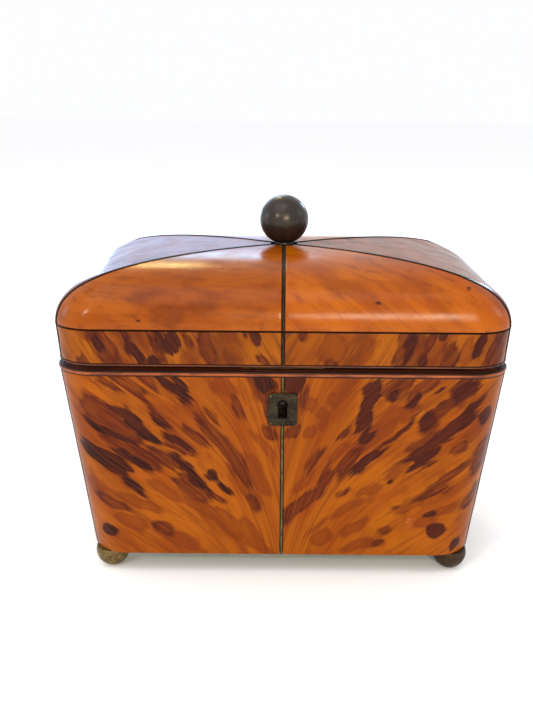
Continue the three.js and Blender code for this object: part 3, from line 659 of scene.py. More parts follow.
# Each patch is (from the middle, height, length, width, angle), in millimetres and degrees.
# Heights are from the underside of the box, and both front panels rise away from the middle.
LEFT_PATCHES = {
    "dark": [
        (79, 46.5, 29, 8.6, 31), (66, 34.5, 16, 3.6, 36), (62, 62, 21, 4.8, 44), (73, 58.5, 24, 2.6, 27),
        (41, 40, 24, 4, 42), (31, 38.5, 6, 3.8, 48), (24, 32.5, 9, 2.4, 45), (47.5, 79, 21, 4.8, 42),
        (44.5, 82, 11, 2.8, 58), (65, 44, 21, 3, 36), (79, 9, 8.5, 5, 28), (55, 66, 14, 2.4, 37),
        (45, 54.5, 12, 2.8, 38), (70, 68.5, 10, 2.6, 26), (8, 82, 10, 7, 70),
    ],
    "middle": [
        (75, 64, 32, 11, 37), (54, 66.5, 16, 3.6, 37), (37.5, 58, 13.5, 4, 45), (45, 53, 15, 6.4, 38),
        (24.5, 51, 40, 6.5, 56), (66, 81, 19, 6.5, 40), (75, 81, 15, 3, 42), (9, 81, 16, 8.5, 66),
        (5, 59.5, 9, 5, 60), (19, 71, 11, 3.4, 57), (53.5, 46.5, 17, 5.5, 36), (75.5, 25, 18, 4.6, 30),
        (40, 32.5, 19, 7, 40), (29, 28, 12, 3, 40), (54, 11.5, 11, 5, 30), (13.3, 25, 10, 3.4, 68),
        (66, 50.5, 30, 6, 35), (31, 68.5, 9, 2.4, 50), (6, 70, 12, 3, 66), (57, 83, 12, 3, 48),
    ],
    "faint": [
        (69, 14.5, 17, 5.5, 25), (64, 25, 20, 5, 26), (51, 31.5, 16, 5, 38), (11, 39, 22, 6, 58),
        (8, 52, 18, 4, 60), (25, 14.5, 22, 6, 40), (25.5, 80, 13, 5, 55), (29, 79.5, 4.5, 3.4, 40),
        (36, 22, 22, 5, 38), (45, 6, 16, 5, 25), (84, 32, 12, 5, 25), (17, 34, 24, 5, 56),
        (38, 70, 18, 4, 46), (80, 72, 16, 5, 40), (14, 10, 16, 6, 50), (10, 3, 14, 4, 30),
    ],
}
RIGHT_PATCHES = {
    "dark": [
        (37, 71.5, 27, 5.6, 67), (38, 81, 10, 5, 45), (73, 61.5, 46, 5.4, 40), (64.5, 48.5, 14, 5, 38),
        (62, 44, 14, 3.8, 26), (38, 45.5, 20, 3.8, 40), (52, 61.5, 25, 2, 47), (37, 58, 9, 4, 42),
        (78, 80, 14, 5.5, 56), (68, 79, 6, 2, 50), (62, 65, 9, 4, 52), (58, 75.5, 8, 3.4, 54),
        (67, 19.5, 6, 3, 22), (71, 11.5, 9.5, 6, 18), (80, 3.5, 8, 3.6, 40), (5.4, 82, 12, 8, 70),
        (48, 37, 1.6, 1.6, 0), (89, 67, 8, 3.6, 45), (48.5, 76.5, 7, 3, 60),
    ],
    "middle": [
        (49.5, 80, 15, 8.5, 60), (57, 77, 11, 5, 55), (62, 83, 15, 6, 50), (78, 79.5, 17, 8, 55),
        (62.5, 65, 12, 5.4, 52), (69.5, 71, 12, 4, 45), (61, 55.5, 17, 6, 38), (77.5, 53.5, 9.5, 4.8, 38),
        (30.5, 45.5, 17, 4.6, 52), (26.5, 59.5, 9, 3, 52), (19.2, 37.5, 12.5, 4.2, 58), (9, 24, 29, 6, 47),
        (27, 31.5, 7, 2.8, 42), (52, 23.5, 5, 2.2, 20), (47.5, 11.5, 6.5, 2.8, 30), (44, 5.5, 6.5, 2.6, 15),
        (87, 28.5, 15, 6, 50), (90, 43.5, 14, 6, 50), (72, 37, 37, 3.2, 33), (68, 31, 12, 2.4, 25),
        (90, 52.5, 12, 4.4, 50), (15.5, 47, 16, 3, 48), (4, 60.5, 8, 5, 50), (9.5, 75.5, 10, 3, 70),
    ],
    "faint": [
        (12.5, 73, 6, 5, 60), (22.2, 74, 6, 4.6, 60), (16.3, 68.5, 5, 4, 50), (16.7, 64, 4.4, 3.4, 60),
        (11.8, 60, 6.5, 4.6, 70), (41.5, 60.5, 29, 6.5, 52), (38, 32.5, 12, 3.4, 28),
        (65.5, 14.8, 11, 4.4, 20), (17.6, 7.7, 11, 5, 25),
        (17, 13, 14, 1.8, 35), (52, 42.5, 16, 4, 36), (30, 22.5, 18, 4, 40),
        (55, 69.5, 10, 4, 50), (33, 12.5, 14, 4, 30), (83, 60.5, 12, 5, 45), (25.5, 49.5, 14, 3.6, 50),
        (28.5, 80, 16, 4, 56), (58, 24.5, 16, 4, 32), (9, 36.5, 14, 4, 50), (74, 22.5, 12, 4, 30),
        (34, 4, 16, 4, 20),
    ],
}
LEFT_BAND_PATCHES = {
    "dark": [
        (11, 102.5, 5.5, 4, 60), (45.5, 100, 9, 6, 60), (60, 95.7, 16, 3.6, 48), (52, 92.7, 6, 5, 50),
        (50, 101, 8, 3, 60), (75, 100, 8, 2.6, 48),
    ],
    "middle": [
        (15.5, 104, 3, 2, 60), (8, 94, 7, 3.5, 50), (30, 97.5, 17, 5.5, 66), (39, 101, 9, 3, 60),
        (50.7, 99, 14, 4.4, 60), (72.7, 97.5, 20, 7, 48), (82, 92, 5, 3, 40), (65, 103, 7, 3, 50),
    ],
    "faint": [
        (81, 103, 6, 4, 45), (56, 102, 8, 5, 55), (38, 93, 8, 4, 60), (22, 103, 6, 4, 60), (66, 93, 8, 4, 50),
    ],
}
RIGHT_BAND_PATCHES = {
    "dark": [(57, 93.3, 6, 4, 60), (65.4, 103, 5, 4, 62), (80, 99.3, 13, 4.2, 62), (51, 99, 16, 3, 66)],
    "middle": [
        (8, 103.5, 4, 3, 60), (18.6, 91.5, 5, 4, 60), (50.7, 97.5, 24, 8.5, 66), (67.2, 94.5, 12, 5.5, 60),
        (88, 95.7, 15, 6.5, 62), (91, 103, 8, 5, 60), (60, 101, 9, 3.6, 62),
    ],
    "faint": [(61.7, 98.7, 17, 7, 62), (20, 98, 14, 8, 62), (33, 97, 12, 5, 62), (74, 97, 14, 4, 62)],
}

# The front panels' patches are laid a little nearer the middle and higher than in the lists.
PATCH_SPREAD = 1.035
PATCH_LIFT = 1.6
KINDS = ("dark", "middle", "faint")
FAR_OUTSIDE = -6.0  # depth, in millimetres, of a point far from every patch
ROUNDNESS = 2.6  # power of the patches' outline: 2 is an ellipse, more is squarer
FULLNESS = 0.57  # half a patch's breadth, as a share of the width in the lists
SEED_STEP = 7.3


def scattered(seed, width, low, high, angle, count):
    """Patches strewn at random over a sheet, all lying near one angle."""
    dice = random.Random(seed)
    patches = {kind: [] for kind in KINDS}
    for index in range(count):
        kind = ("dark", "middle", "faint", "middle")[index % 4]
        patch = (
            dice.uniform(*width),
            dice.uniform(low, high),
            dice.uniform(7, 26),
            dice.uniform(2.6, 7.5),
            angle + dice.uniform(-9, 9),
        )
        patches[kind].append(patch)
    return patches


def specks(seed, width, low, high, count):
    """Small dark specks, for a nearly plain sheet."""
    dice = random.Random(seed)
    patches = {kind: [] for kind in KINDS}
    for _ in range(count):
        place = (dice.uniform(*width), dice.uniform(low, high))
        patches["dark"].append((*place, dice.uniform(0.8, 1.2), 0.6, 40))
    return patches


def meander(across, up, seed):
    """A smooth wandering of about a millimetre, so that no patch is a plain oval."""
    dice = random.Random(seed)
    total = np.zeros_like(across)
    for wave, size in ((30, 0.8), (17, 0.45), (10, 0.25), (6, 0.12)):
        turn, phase = dice.uniform(0, math.tau), dice.uniform(0, math.tau)
        way = across * math.cos(turn) + up * math.sin(turn)
        total += size * np.sin(way * math.tau / wave + phase)
    return total


def inside_patches(across, up, patches):
    """For each kind of patch, how far inside the nearest one a point is, in millimetres."""
    across, up = across + meander(across, up, 3), up + meander(across, up, 4)
    fields = []
    for kind in KINDS:
        deepest = np.full(across.shape, FAR_OUTSIDE)
        for x, z, length, width, angle in patches[kind]:
            cos, sin = math.cos(math.radians(angle)), math.sin(math.radians(angle))
            along = np.abs((across - x) * cos + (up - z) * sin) / (length / 2)
            aside = np.abs((up - z) * cos - (across - x) * sin) / (width * FULLNESS)
            reach = (along**ROUNDNESS + aside**ROUNDNESS) ** (1 / ROUNDNESS)
            depth = (1 - reach) * width * FULLNESS
            deepest = np.maximum(deepest, depth)
        fields.append(deepest)
    return np.stack(fields, -1)


def sweep_of(across, up):
    """Flow coordinates of the front panels, whose streaks fan out from the middle string."""
    reach, far_angle, extra_angle, fade = 130, 35, 42, 30
    steps = np.linspace(0, reach, 4 * reach + 1)
    slope = np.tan(np.radians(far_angle + extra_angle * np.exp(-((steps / fade) ** 2))))
    rise = np.concatenate([[0], np.cumsum((slope[1:] + slope[:-1]) / 2 * np.diff(steps))])
    stretch, squeeze = 1.25, 0.8
    return across * stretch, (up - np.interp(across, steps, rise)) * squeeze


def straight(angle):
    cos, sin = math.cos(math.radians(angle)), math.sin(math.radians(angle))
    return lambda across, up: (across * cos + up * sin, up * cos - across * sin)


def shell_slab(name, grid, across, up, patches, streaks, seed, body, material=SHELL, **more):
    """A shell panel with its flow and patch coordinates stored on its points."""
    piece = slab(name, grid, material, body, slot="shell", **more)
    along, aside = streaks(across, up)
    flow = np.stack([along, aside, np.full_like(along, seed * SEED_STEP)], -1).reshape(-1, 3)
    marks = inside_patches(across, up, patches).reshape(-1, 3)
    store(piece, "flow", np.concatenate([flow, flow]))
    store(piece, "marks", np.concatenate([marks, marks]))
    return piece


# ---- The box, the band and the dome share three faces: front half, side and back ---------

Layer = namedtuple("Layer", "name levels gap base body")
BOX_LAYER = Layer("shell", [(body_half(z), z) for z in spaced(0, BODY_HEIGHT, 78, 0.4)],
                  STRING / 2 + SEAM, 0, "caddy_body")
BAND_LAYER = Layer("band", [(lid_half(z), z) for z in spaced(BAND[0], BAND[1], 16, 0.3)],
                   STRING / 2 + SEAM, BAND[0], "lid")
DOME_LAYER = Layer("dome", [dome_level(t) for t in spaced(0, DOME_END, 64, 0.0055)],
                   HIP_STRING / 2 + SEAM, DOME_SHEET_START, "lid")
SIDES = (("left", True), ("right", False))
STRING_EDGE = 0.14


def face_grid(layer, face, columns, edge=0.3):
    """Outer points of one face at every level, with the distance along the outline of each."""
    rows, runs = [], []
    for half, z in layer.levels:
        start, end = {
            "front": (STRING / 2 + SEAM, front_string(half) - layer.gap),
            "side": (front_string(half) + layer.gap, back_string(half) - layer.gap),
            "back": (back_string(half) + layer.gap, whole_turn(half) - back_string(half) - layer.gap),
        }[face]
        run = spaced(start, end, columns, min(edge, (end - start) / 8))
        x, y = around(half, run)
        rows.append(np.stack([x, y, np.full_like(x, z)], 1))
        runs.append(run)
    return np.array(rows), np.array(runs)


def climb(line):
    """Distance of each point of a line from the first one."""
    steps = np.linalg.norm(np.diff(line, axis=0), axis=1)
    return np.concatenate([[0], np.cumsum(steps)])


def panel(layer, face, side, columns, patches, streaks, seed, material=SHELL, spread=1.0, lift=0.0):
    """A shell panel on one face of a layer, in place of its CAD node."""
    node = "_".join(filter(None, (layer.name, face, side)))
    grid, runs = face_grid(layer, face, columns)
    up = climb(grid[:, grid.shape[1] // 2])[:, None] + layer.base - lift + 0 * runs
    return shell_slab(f"{node}_veneer", grid, runs * spread, up, patches, streaks, seed, layer.body, material,
                      flip=side == "left", replaces=[node])


def string_piece(name, levels, middle_of, material, body, slot="dark_string", flip=False, width=STRING,
                 proud=0.04, **more):
    """A string centred on a distance along the outline, with the distance along it in its flow."""
    offsets = spaced(-width / 2, width / 2, 5, STRING_EDGE)
    rows = []
    for half, z in levels:
        x, y = around(half, middle_of(half) + offsets)
        rows.append(np.stack([x, y, np.full_like(x, z)], 1))
    grid = np.array(rows)
    piece = slab(name, grid, material, body, thick=1.3, edge=STRING_EDGE, wave=0, proud=proud, flip=flip,
                 slot=slot, **more)
    along = climb(grid[:, 0])[:, None] + 0 * offsets
    flow = np.stack([along, 0 * along + offsets, 0 * along + len(name)], -1).reshape(-1, 3)
    store(piece, "flow", np.concatenate([flow, flow]))
    return piece


def front_middle(half):
    return 0.0


CORNERS = (("front", front_string), ("back", back_string))


def clad_body():
    levels = BOX_LAYER.levels[::4] + BOX_LAYER.levels[-1:]
    for side, flip in SIDES:
        patches, material = (LEFT_PATCHES, SHELL) if flip else (RIGHT_PATCHES, SHELL_RIGHT)
        front = panel(BOX_LAYER, "front", side, 88, patches, sweep_of, 1 + flip, material,
                      PATCH_SPREAD, PATCH_LIFT)
        cut_away(front, keyhole_cutter)
        patches = scattered(11 + flip, (90, 200), 2, 84, 48, 30)
        panel(BOX_LAYER, "side", side, 84, patches, straight(48), 3 + flip)
        for place, middle_of in CORNERS:
            node = f"corner_string_{place}_{side}"
            string_piece(f"{node}_inlay", levels, middle_of, DARK, "caddy_body", flip=flip, replaces=[node])
    patches = scattered(23, (200, 390), 2, 84, 40, 46)
    panel(BOX_LAYER, "back", None, 150, patches, straight(40), 5)


def front_strings():
    lower_end = caddy_box("string_front_lower")[1][2]
    upper_start = caddy_box("string_front_upper")[0][2]
    for name, low, high in (("lower", 0, lower_end), ("upper", upper_start, BODY_HEIGHT)):
        levels = [(body_half(z), z) for z in spaced(low, high, 24, 0.3)]
        node = f"string_front_{name}"
        string_piece(f"{node}_inlay", levels, front_middle, PEWTER, "caddy_body", "pewter_string",
                     replaces=[node])


def clad_band():
    heights = (90, 105)
    for side, flip in SIDES:
        patches = LEFT_BAND_PATCHES if flip else RIGHT_BAND_PATCHES
        panel(BAND_LAYER, "front", side, 84, patches, straight(60), 6 + flip, SHELL_BAND)
        patches = scattered(31 + flip, (90, 205), *heights, 58, 20)
        panel(BAND_LAYER, "side", side, 70, patches, straight(58), 8 + flip)
    panel(BAND_LAYER, "back", None, 140, scattered(37, (205, 395), *heights, 58, 32), straight(58), 10)


def clad_dome():
    heights = (108, 150)
    for side, flip in SIDES:
        material, angle = (SHELL_RED, 4) if flip else (SHELL_GOLD, -44)
        patches = specks(41 + flip, (8, 88), *heights, 5)
        front = panel(DOME_LAYER, "front", side, 84, patches, straight(angle), 11 + flip, material)
        cut_away(front, crown_cutter)
        patches = specks(47 + flip, (100, 200), *heights, 8)
        end = panel(DOME_LAYER, "side", side, 64, patches, straight(30), 13 + flip, SHELL_END)
        cut_away(end, crown_cutter)
    patches = specks(53, (215, 385), *heights, 10)
    cut_away(panel(DOME_LAYER, "back", None, 130, patches, straight(35), 15, SHELL_GOLD), crown_cutter)


def shoulder_string():
    low, high, depth, proud, soft = BAND[1] + 0.1, SHOULDER, 1.3, 0.06, 0.1
    profile = [(-depth, low), (0, low), (proud, low + soft), (proud, high - soft), (0, high), (-depth, high)]
    return ring("shoulder_string_inlay", lid_half, profile, DARK, "lid", slot="dark_string")


def crown_disc():
    """The dark disc under the finial, where the strings meet. Its near black, which reflects nothing, is
    painted shade where the ball meets the dome.
    """
    edge, flat, soft = CROWN_RADIUS, 3.2, 0.05
    profile = [(0, CROWN - 2), (edge, CROWN - 2), (edge, CROWN - soft), (edge - 0.15, CROWN + soft),
               (flat, CROWN + soft), (0, CROWN)]
    return lathe("crown_disc", profile, (0, 0, 0), DARK_PAINTED_SHADE, "lid", slot="dark_string")


def lid_strings():
    band, dome = BAND_LAYER.levels, DOME_LAYER.levels
    strings = []
    for side, flip in SIDES:
        for place, middle_of in CORNERS:
            corner = string_piece(f"band_string_{place}_{side}", band, middle_of, DARK, "lid", flip=flip,
                                  width=HIP_SHOWN, proud=HIP_PROUD / 2)
            hip = string_piece(f"hip_string_{place}_{side}", dome, middle_of, DARK, "lid", flip=flip,
                               width=HIP_SHOWN, proud=HIP_PROUD)
            cut_away(hip, crown_cutter)
            strings += [corner, hip]
    strings.append(string_piece("band_string_middle", band, front_middle, DARK_SPECKED, "lid"))
    ridge = string_piece("dome_string_middle", dome, front_middle, DARK_SPECKED, "lid")
    cut_away(ridge, crown_cutter)
    for piece in strings + [ridge, shoulder_string(), crown_disc()]:
        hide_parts("lid_stringing")


# ---- Edgings -----------------------------------------------------------------------------


def bead_profile(centre, radius, out, count, back):
    """A half-round bead whose flat back lies a little deeper than its edges."""
    angles = np.radians(np.linspace(-90, 90, count))
    bead = [(out + radius * 0.75 * math.cos(a), centre + radius * math.sin(a)) for a in angles]
    return bead + [(back, centre + radius), (back, centre - radius)]


def edging(node, name, half_at, core, bead, bead_shell, body):
    """A wooden strip round an outline with a shell bead on its face."""
    strip = ring(f"{name}_core", half_at, core, ROSEWOOD, body, slot="edging")
    cord = ring(f"{name}_bead", half_at, bead, bead_shell, body, slot="edging")
    for piece in (strip, cord):
        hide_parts(node)


def edgings():
    deep = -2.2
    low, high = caddy_box("rim_edging")[0][2], RIM[2]
    core = [(deep, low), (-0.05, low), (-0.05, high - 0.15), (-0.2, high), (deep, high)]
    bead = bead_profile(low + 0.98, 0.55, -0.05, 9, -0.9)
    edging("rim_edging", "rim", body_half, core, bead, BEAD, "caddy_body")
    low, high = caddy_box("lid_edging")[0][2], EDGING[2]
    core = [(deep, low), (-0.15, low), (0, low + 0.15), (0, high), (deep, high)]
    bead = bead_profile(low + 0.42, 0.3, -0.02, 7, -0.6)
    edging("lid_edging", "lid_edge", lid_half, core, bead, BEAD_DARK, "lid")


# ---- Escutcheon, keyhole and screws ------------------------------------------------------

PLATE = caddy_box("escutcheon")
PLATE_CENTRE = (PLATE[0][2] + PLATE[1][2]) / 2
KEY_RADIUS, KEY_SLOT, KEY_DROP, KEY_ABOVE = 2.3, 4.0, 6.2, 2.1
LEAN = math.atan(FLARE / BODY_HEIGHT)
UPRIGHT = Matrix.Rotation(math.pi / 2, 4, "X")


def keyhole_outline(grow=0.0, count=22):
    """The keyhole seen from the front, as (across, up) from the middle of the plate."""
    radius, slot = KEY_RADIUS + grow, KEY_SLOT / 2 + grow
    start = -math.acos(slot / radius)
    angles = np.linspace(start, math.pi - start, count)
    round_part = [(radius * math.cos(a), KEY_ABOVE + radius * math.sin(a)) for a in angles]
    foot = KEY_ABOVE - KEY_DROP - grow
    return round_part + [(-slot, foot), (slot, foot)]


def prism(name, near, far):
    """A plain solid between two loops of points, used as a cutter only."""
    count = len(near)
    faces = [list(range(count)), list(range(2 * count - 1, count - 1, -1))]
    faces += [[i, (i + 1) % count, count + (i + 1) % count, count + i] for i in range(count)]
    return plain_object(name, near + far, faces)


def keyhole_prism(front=-80, back=-30):
    outline = [(x, PLATE_CENTRE + z) for x, z in keyhole_outline(0.15)]
    return prism("keyhole_cutter", [(x, front, z) for x, z in outline], [(x, back, z) for x, z in outline])


def crown_prism(clearance=0.2, reach=12, steps=64):
    radius = CROWN_RADIUS + clearance
    angles = np.arange(steps) * 2 * math.pi / steps
    near, far = ([(radius * math.cos(a), radius * math.sin(a), z) for a in angles]
                 for z in (CROWN - reach, CROWN + reach))
    return prism("crown_cutter", near, far)


keyhole_cutter = keyhole_prism()
crown_cutter = crown_prism()


def canted(half_x, half_y, cut, middle=(0, 0)):
    """A rectangle with its four corners cut off at 45 degrees."""
    corners = ((1, -1), (1, 1), (-1, 1), (-1, -1))
    points = []
    for number, (sx, sy) in enumerate(corners):
        ends = [((half_x - cut) * sx, half_y * sy), (half_x * sx, (half_y - cut) * sy)]
        points += ends[::-1] if number % 2 else ends
    return [(middle[0] + x, middle[1] + y) for x, y in points]


def flat_plate(name, outline, hole, thick, bevel, material, body, matrix, **more):
    """A bevelled plate, flat in its own XY plane, moved into place by a matrix in millimetres."""
    curve = bpy.data.curves.new(name, "CURVE")
    curve.dimensions = "2D"
    curve.fill_mode = "BOTH"
    for path in filter(None, (outline, hole)):
        spline = curve.splines.new("POLY")
        spline.points.add(len(path) - 1)
        for point, (x, y) in zip(spline.points, path):
            point.co = (x, y, 0, 1)
        spline.use_cyclic_u = True
    curve.extrude = thick / 2 - bevel
    curve.bevel_depth = bevel
    curve.bevel_resolution = 3
    curve.offset = -bevel
    shape = bpy.data.objects.new(name + "_shape", curve)
    scene.collection.objects.link(shape)
    graph = bpy.context.evaluated_depsgraph_get()
    graph.update()
    mesh = bpy.data.meshes.new_from_object(shape.evaluated_get(graph))
    bpy.data.objects.remove(shape)
    bpy.data.curves.remove(curve)
    edit = bmesh.new()
    edit.from_mesh(mesh)
    bmesh.ops.remove_doubles(edit, verts=edit.verts, dist=0.01)
    bmesh.ops.triangulate(edit, faces=[f for f in edit.faces if len(f.verts) > 4])
    edit.verts.ensure_lookup_table()
    points = [tuple(matrix @ v.co) for v in edit.verts]
    faces = [[v.index for v in f.verts] for f in edit.faces]
    edit.free()
    bpy.data.meshes.remove(mesh)
    return new_object(name, points, faces, material, body, **more)


def escutcheon():
    """The canted brass plate, leaned back against the front, with four small pins."""
    thick, sunk = 0.8, 0.12
    front = (0, -body_half(PLATE_CENTRE).y - sunk, PLATE_CENTRE)
    stand = Matrix.Translation(front) @ Matrix.Rotation(LEAN, 4, "X")
    upright = stand @ UPRIGHT @ Matrix.Translation((0, 0, thick / 2))
    flat_plate("escutcheon_plate", canted(6.2, 7.5, 1.1), keyhole_outline(), thick, 0.2, PLATE_BRASS,
               "caddy_body", upright, slot="brass", replaces=["escutcheon"])
    # The sleeve behind the keyhole is darkened as painted shade inside the keyhole.
    sleeve = upright @ Matrix.Translation((0, 0, -1.9))
    flat_plate("keyhole_sleeve", keyhole_outline(0.1), keyhole_outline(-0.15), 3.0, 0.05, LOCK_METAL_PAINTED_SHADE,
               "caddy_body", sleeve, slot="brass")
    pin_x, pin_z = 4.9, 6.2
    for number, (sx, sz) in enumerate(((-1, -1), (1, -1), (1, 1), (-1, 1))):
        head = [(0, 0), (0.62, 0)] + arc(0.66, 0.02, 100, 180, 6)[:-1] + [(0, 0.5)]
        pin = lathe(f"escutcheon_pin_{number + 1}", head, (0, 0, 0), PIN_BRASS, "caddy_body", 20,
                    slot="brass")
        move_mm(pin, stand @ Matrix.Translation((sx * pin_x, -thick, sz * pin_z)) @ UPRIGHT)


def move_mm(piece, matrix):
    """Moves a finished piece by a matrix in caddy millimetres."""
    shift = Matrix.Translation(Vector(ORIGIN) / MM)
    metres = matrix.copy()
    metres.translation = matrix.translation / MM
    piece.data.transform(shift @ metres @ shift.inverted())


def screw(name, at, down, body, radius=1.5):
    """A small countersunk screw head with a slot, at a point in millimetres."""
    dome = [(0, -0.6), (radius * 0.6, -0.6), (radius, -0.05), (radius * 0.97, 0.05), (radius * 0.6, 0.14),
            (0, 0.16)]
    head = lathe(name, dome, (0, 0, 0), LOCK_BRASS, body, 28, slot="brass")
    reach, half_slot, slot_floor, above = 2, 0.3, -0.12, 1
    loop = ((-reach, -half_slot), (reach, -half_slot), (reach, half_slot), (-reach, half_slot))
    cutter = prism(name + "_slot", *([(*point, z) for point in loop] for z in (slot_floor, above)))
    cut_away(head, cutter)
    bpy.data.objects.remove(cutter)
    turn = Matrix.Rotation(math.pi if down else 0, 4, "X") @ Matrix.Rotation(0.7 * len(name), 4, "Z")
    move_mm(head, Matrix.Translation(at) @ turn)


def hardware():
    """Three screws in each hinge leaf and two in the lock's plate."""
    spacing, outer_y, middle_y = 10, 3.2, 5.2
    for side, _ in SIDES:
        low, high = caddy_box(f"hinge_lower_leaf_{side}")
        lid_z = caddy_box(f"hinge_upper_leaf_{side}")[0][2] + 1.5
        for number, step in enumerate((-1, 0, 1)):
            x = (low[0] + high[0]) / 2 + step * spacing
            y = low[1] + (outer_y if step else middle_y)
            screw(f"hinge_{side}_body_screw_{number + 1}", (x, y, low[2] + 0.6), False, "caddy_body")
            screw(f"hinge_{side}_lid_screw_{number + 1}", (x, y, lid_z), True, "lid")
    low, high = caddy_box("lock_plate")
    for number, x in enumerate((-13.5, 13.5)):
        at = (x, (low[1] + high[1]) / 2, high[2])
        screw(f"lock_plate_screw_{number + 1}", at, False, "caddy_body", 1.2)


def assign(material, *nodes):
    for node in nodes:
        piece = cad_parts[node]
        piece.data.materials.clear()
        piece.data.materials.append(material)


# ---- Feet, finial and inner fittings -----------------------------------------------------


def feet():
    """Ball feet with a small worn flat, cast a little uneven, each on a stud into the box."""
    flat_radius, below_box, stud, stud_top = 2, -0.3, 1.9, 5.6
    for place in ("front_left", "front_right", "back_left", "back_right"):
        low, high = caddy_box(f"foot_{place}")
        centre = ((low[0] + high[0]) / 2, (low[1] + high[1]) / 2, 0)
        radius = (high[0] - low[0]) / 2
        middle_z = low[2] + math.sqrt(radius**2 - flat_radius**2)
        start = math.degrees(math.asin(flat_radius / radius))
        end = 180 - math.degrees(math.acos((below_box - middle_z) / radius))
        profile = [(0, low[2])] + arc(radius, middle_z, start, end, 30)
        profile += [(stud, below_box + 0.02), (stud, stud_top), (0, stud_top)]
        material = FOOT_BROWN if place in ("front_right", "back_left") else FOOT_OLIVE
        lathe(f"foot_{place}_ball", profile, centre, material, "caddy_body", 72, 0.004, slot="foot_brass",
              replaces=[f"foot_{place}"])


def finial():
    """The ball with its narrow neck, on a stud that goes down through the lid."""
    low, high = caddy_box("finial")
    radius = (high[0] - low[0]) / 2
    middle_z = high[2] - radius
    stud, neck = 2.5, 4.1
    collar = [(0, low[2]), (stud, low[2]), (stud, CROWN + 0.15), (neck, CROWN + 0.15),
              (neck + 0.1, CROWN + 0.3), (neck, CROWN + 0.8)]
    start = math.degrees(math.asin((neck + 0.05) / radius))
    ball = arc(radius, middle_z, start, 179, 60)
    lathe("finial_ball", collar + ball + [(0, high[2])], (0, 0, 0), FINIAL, "lid", 96, 0.0015,
          slot="finial_metal", replaces=["finial"])


def sheet_grid(x, y, z, columns, rows, edge):
    """A flat grid that faces up."""
    across = spaced(*x, columns, edge)
    deep = spaced(*y, rows, edge)
    grid = np.zeros((len(deep), len(across), 3))
    grid[..., 0] = across[None, :]
    grid[..., 1] = deep[:, None]
    grid[..., 2] = z
    return grid


def frame_strip(name, x, y, z, width, thick, material, body, **more):
    """A flat rectangular frame with a soft edge, made as a ring of small profile."""
    half = Half((x[1] - x[0]) / 2, (y[1] - y[0]) / 2, 0.9, 0.5)
    soft = 0.06
    profile = [(-width, z - thick), (0, z - thick), (0, z - soft), (-soft, z), (soft - width, z),
               (-width, z - soft)]
    piece = ring(name, lambda _: half, profile, material, body, **more)
    middle_point = Vector(((x[0] + x[1]) / 2, (y[0] + y[1]) / 2, 0)) / MM
    piece.data.transform(Matrix.Translation(middle_point))
    return piece


def inner_lids():
    """Each inner lid: a mahogany board under a shell panel inside a pewter string, with a bone knob."""
    for side, flip in SIDES:
        body = f"{side}_inner_lid"
        low, high = caddy_box(f"inner_lid_{side}")
        x, y = (low[0], high[0]), (low[1], high[1])
        top_sheet, border, string_at = 0.35, 4.0, 3.1
        board_grid = sheet_grid(x, y, high[2] - top_sheet, 12, 12, 0.3)
        board = slab(f"inner_lid_{side}_board", board_grid, MAHOGANY_SIDE, body,
                     thick=high[2] - low[2] - top_sheet, edge=0.3, wave=0, slot="mahogany")
        inner_x, inner_y = (x[0] + border, x[1] - border), (y[0] + border, y[1] - border)
        grid = sheet_grid(inner_x, inner_y, high[2], 60, 70, 0.2)
        across = grid[..., 0] - inner_x[0]
        up = grid[..., 1] - inner_y[0]
        patches = scattered(61 + flip, (0, 74), 0, 88, 55, 20)
        veneer = shell_slab(f"inner_lid_{side}_veneer", grid, across, up, patches, straight(55), 17 + flip,
                            body, thick=0.32, edge=0.12, wave=0.02)
        outer_x, outer_y = (x[0] + string_at, x[1] - string_at), (y[0] + string_at, y[1] - string_at)
        line = frame_strip(f"inner_lid_{side}_string", outer_x, outer_y, high[2], 0.8, 0.34, PEWTER_PLAIN,
                           body, slot="pewter_string")
        for piece in (board, veneer, line):
            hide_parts(f"inner_lid_{side}")
        knob_low, knob_high = caddy_box(f"inner_knob_{side}")
        centre = ((knob_low[0] + knob_high[0]) / 2, (knob_low[1] + knob_high[1]) / 2, 0)
        foot = high[2] + 0.12
        top = knob_high[2]
        ball = 4.15
        profile = [(0, foot), (3.6, foot), (3.75, foot + 0.25), (3.5, foot + 0.55), (2.6, foot + 0.9),
                   (2.1, foot + 1.3), (2.3, foot + 1.6)]
        profile += arc(ball, top - ball, 34, 178, 26) + [(0, top)]
        lathe(f"inner_knob_{side}_turned", profile, centre, BONE, body, 48, slot="bone",
              replaces=[f"inner_knob_{side}"])


def velvet_pad():
    """The padded lining in the lid's recess, crowned towards the wells and tucked in at its edge."""
    low, high = caddy_box("lid_pad")
    grid = sheet_grid((low[0], high[0]), (low[1], high[1]), 0, 90, 60, 1.2)
    inward = border_distance(grid)
    swell, welt = 2.6 * (1 - np.exp(-inward / 5)), 0.5 * np.exp(-((inward - 7) ** 2) / 1.2)
    grid[..., 2] = high[2] - 1.4 - (swell - welt) * 1.3 + 0.12 * ripple(grid * 2)
    pad = slab("lid_pad_velvet", grid[::-1], VELVET, "lid", thick=1.2, edge=0.8, wave=0, slot="velvet",
               replaces=["lid_pad"])


def baize():
    """The cloth glued under the box, cut away round the feet."""
    low, high = caddy_box("base_baize")
    away = 21.0
    middle_x, middle_y, middle_z = (low + high) / 2
    outline = canted((high[0] - low[0]) / 2, (high[1] - low[1]) / 2, away, (middle_x, middle_y))
    sheet = flat_plate("base_baize_cloth", outline, None, high[2] - low[2], 0.2, BAIZE, "caddy_body",
                       Matrix.Translation((0, 0, middle_z)), slot="baize", replaces=["base_baize"])


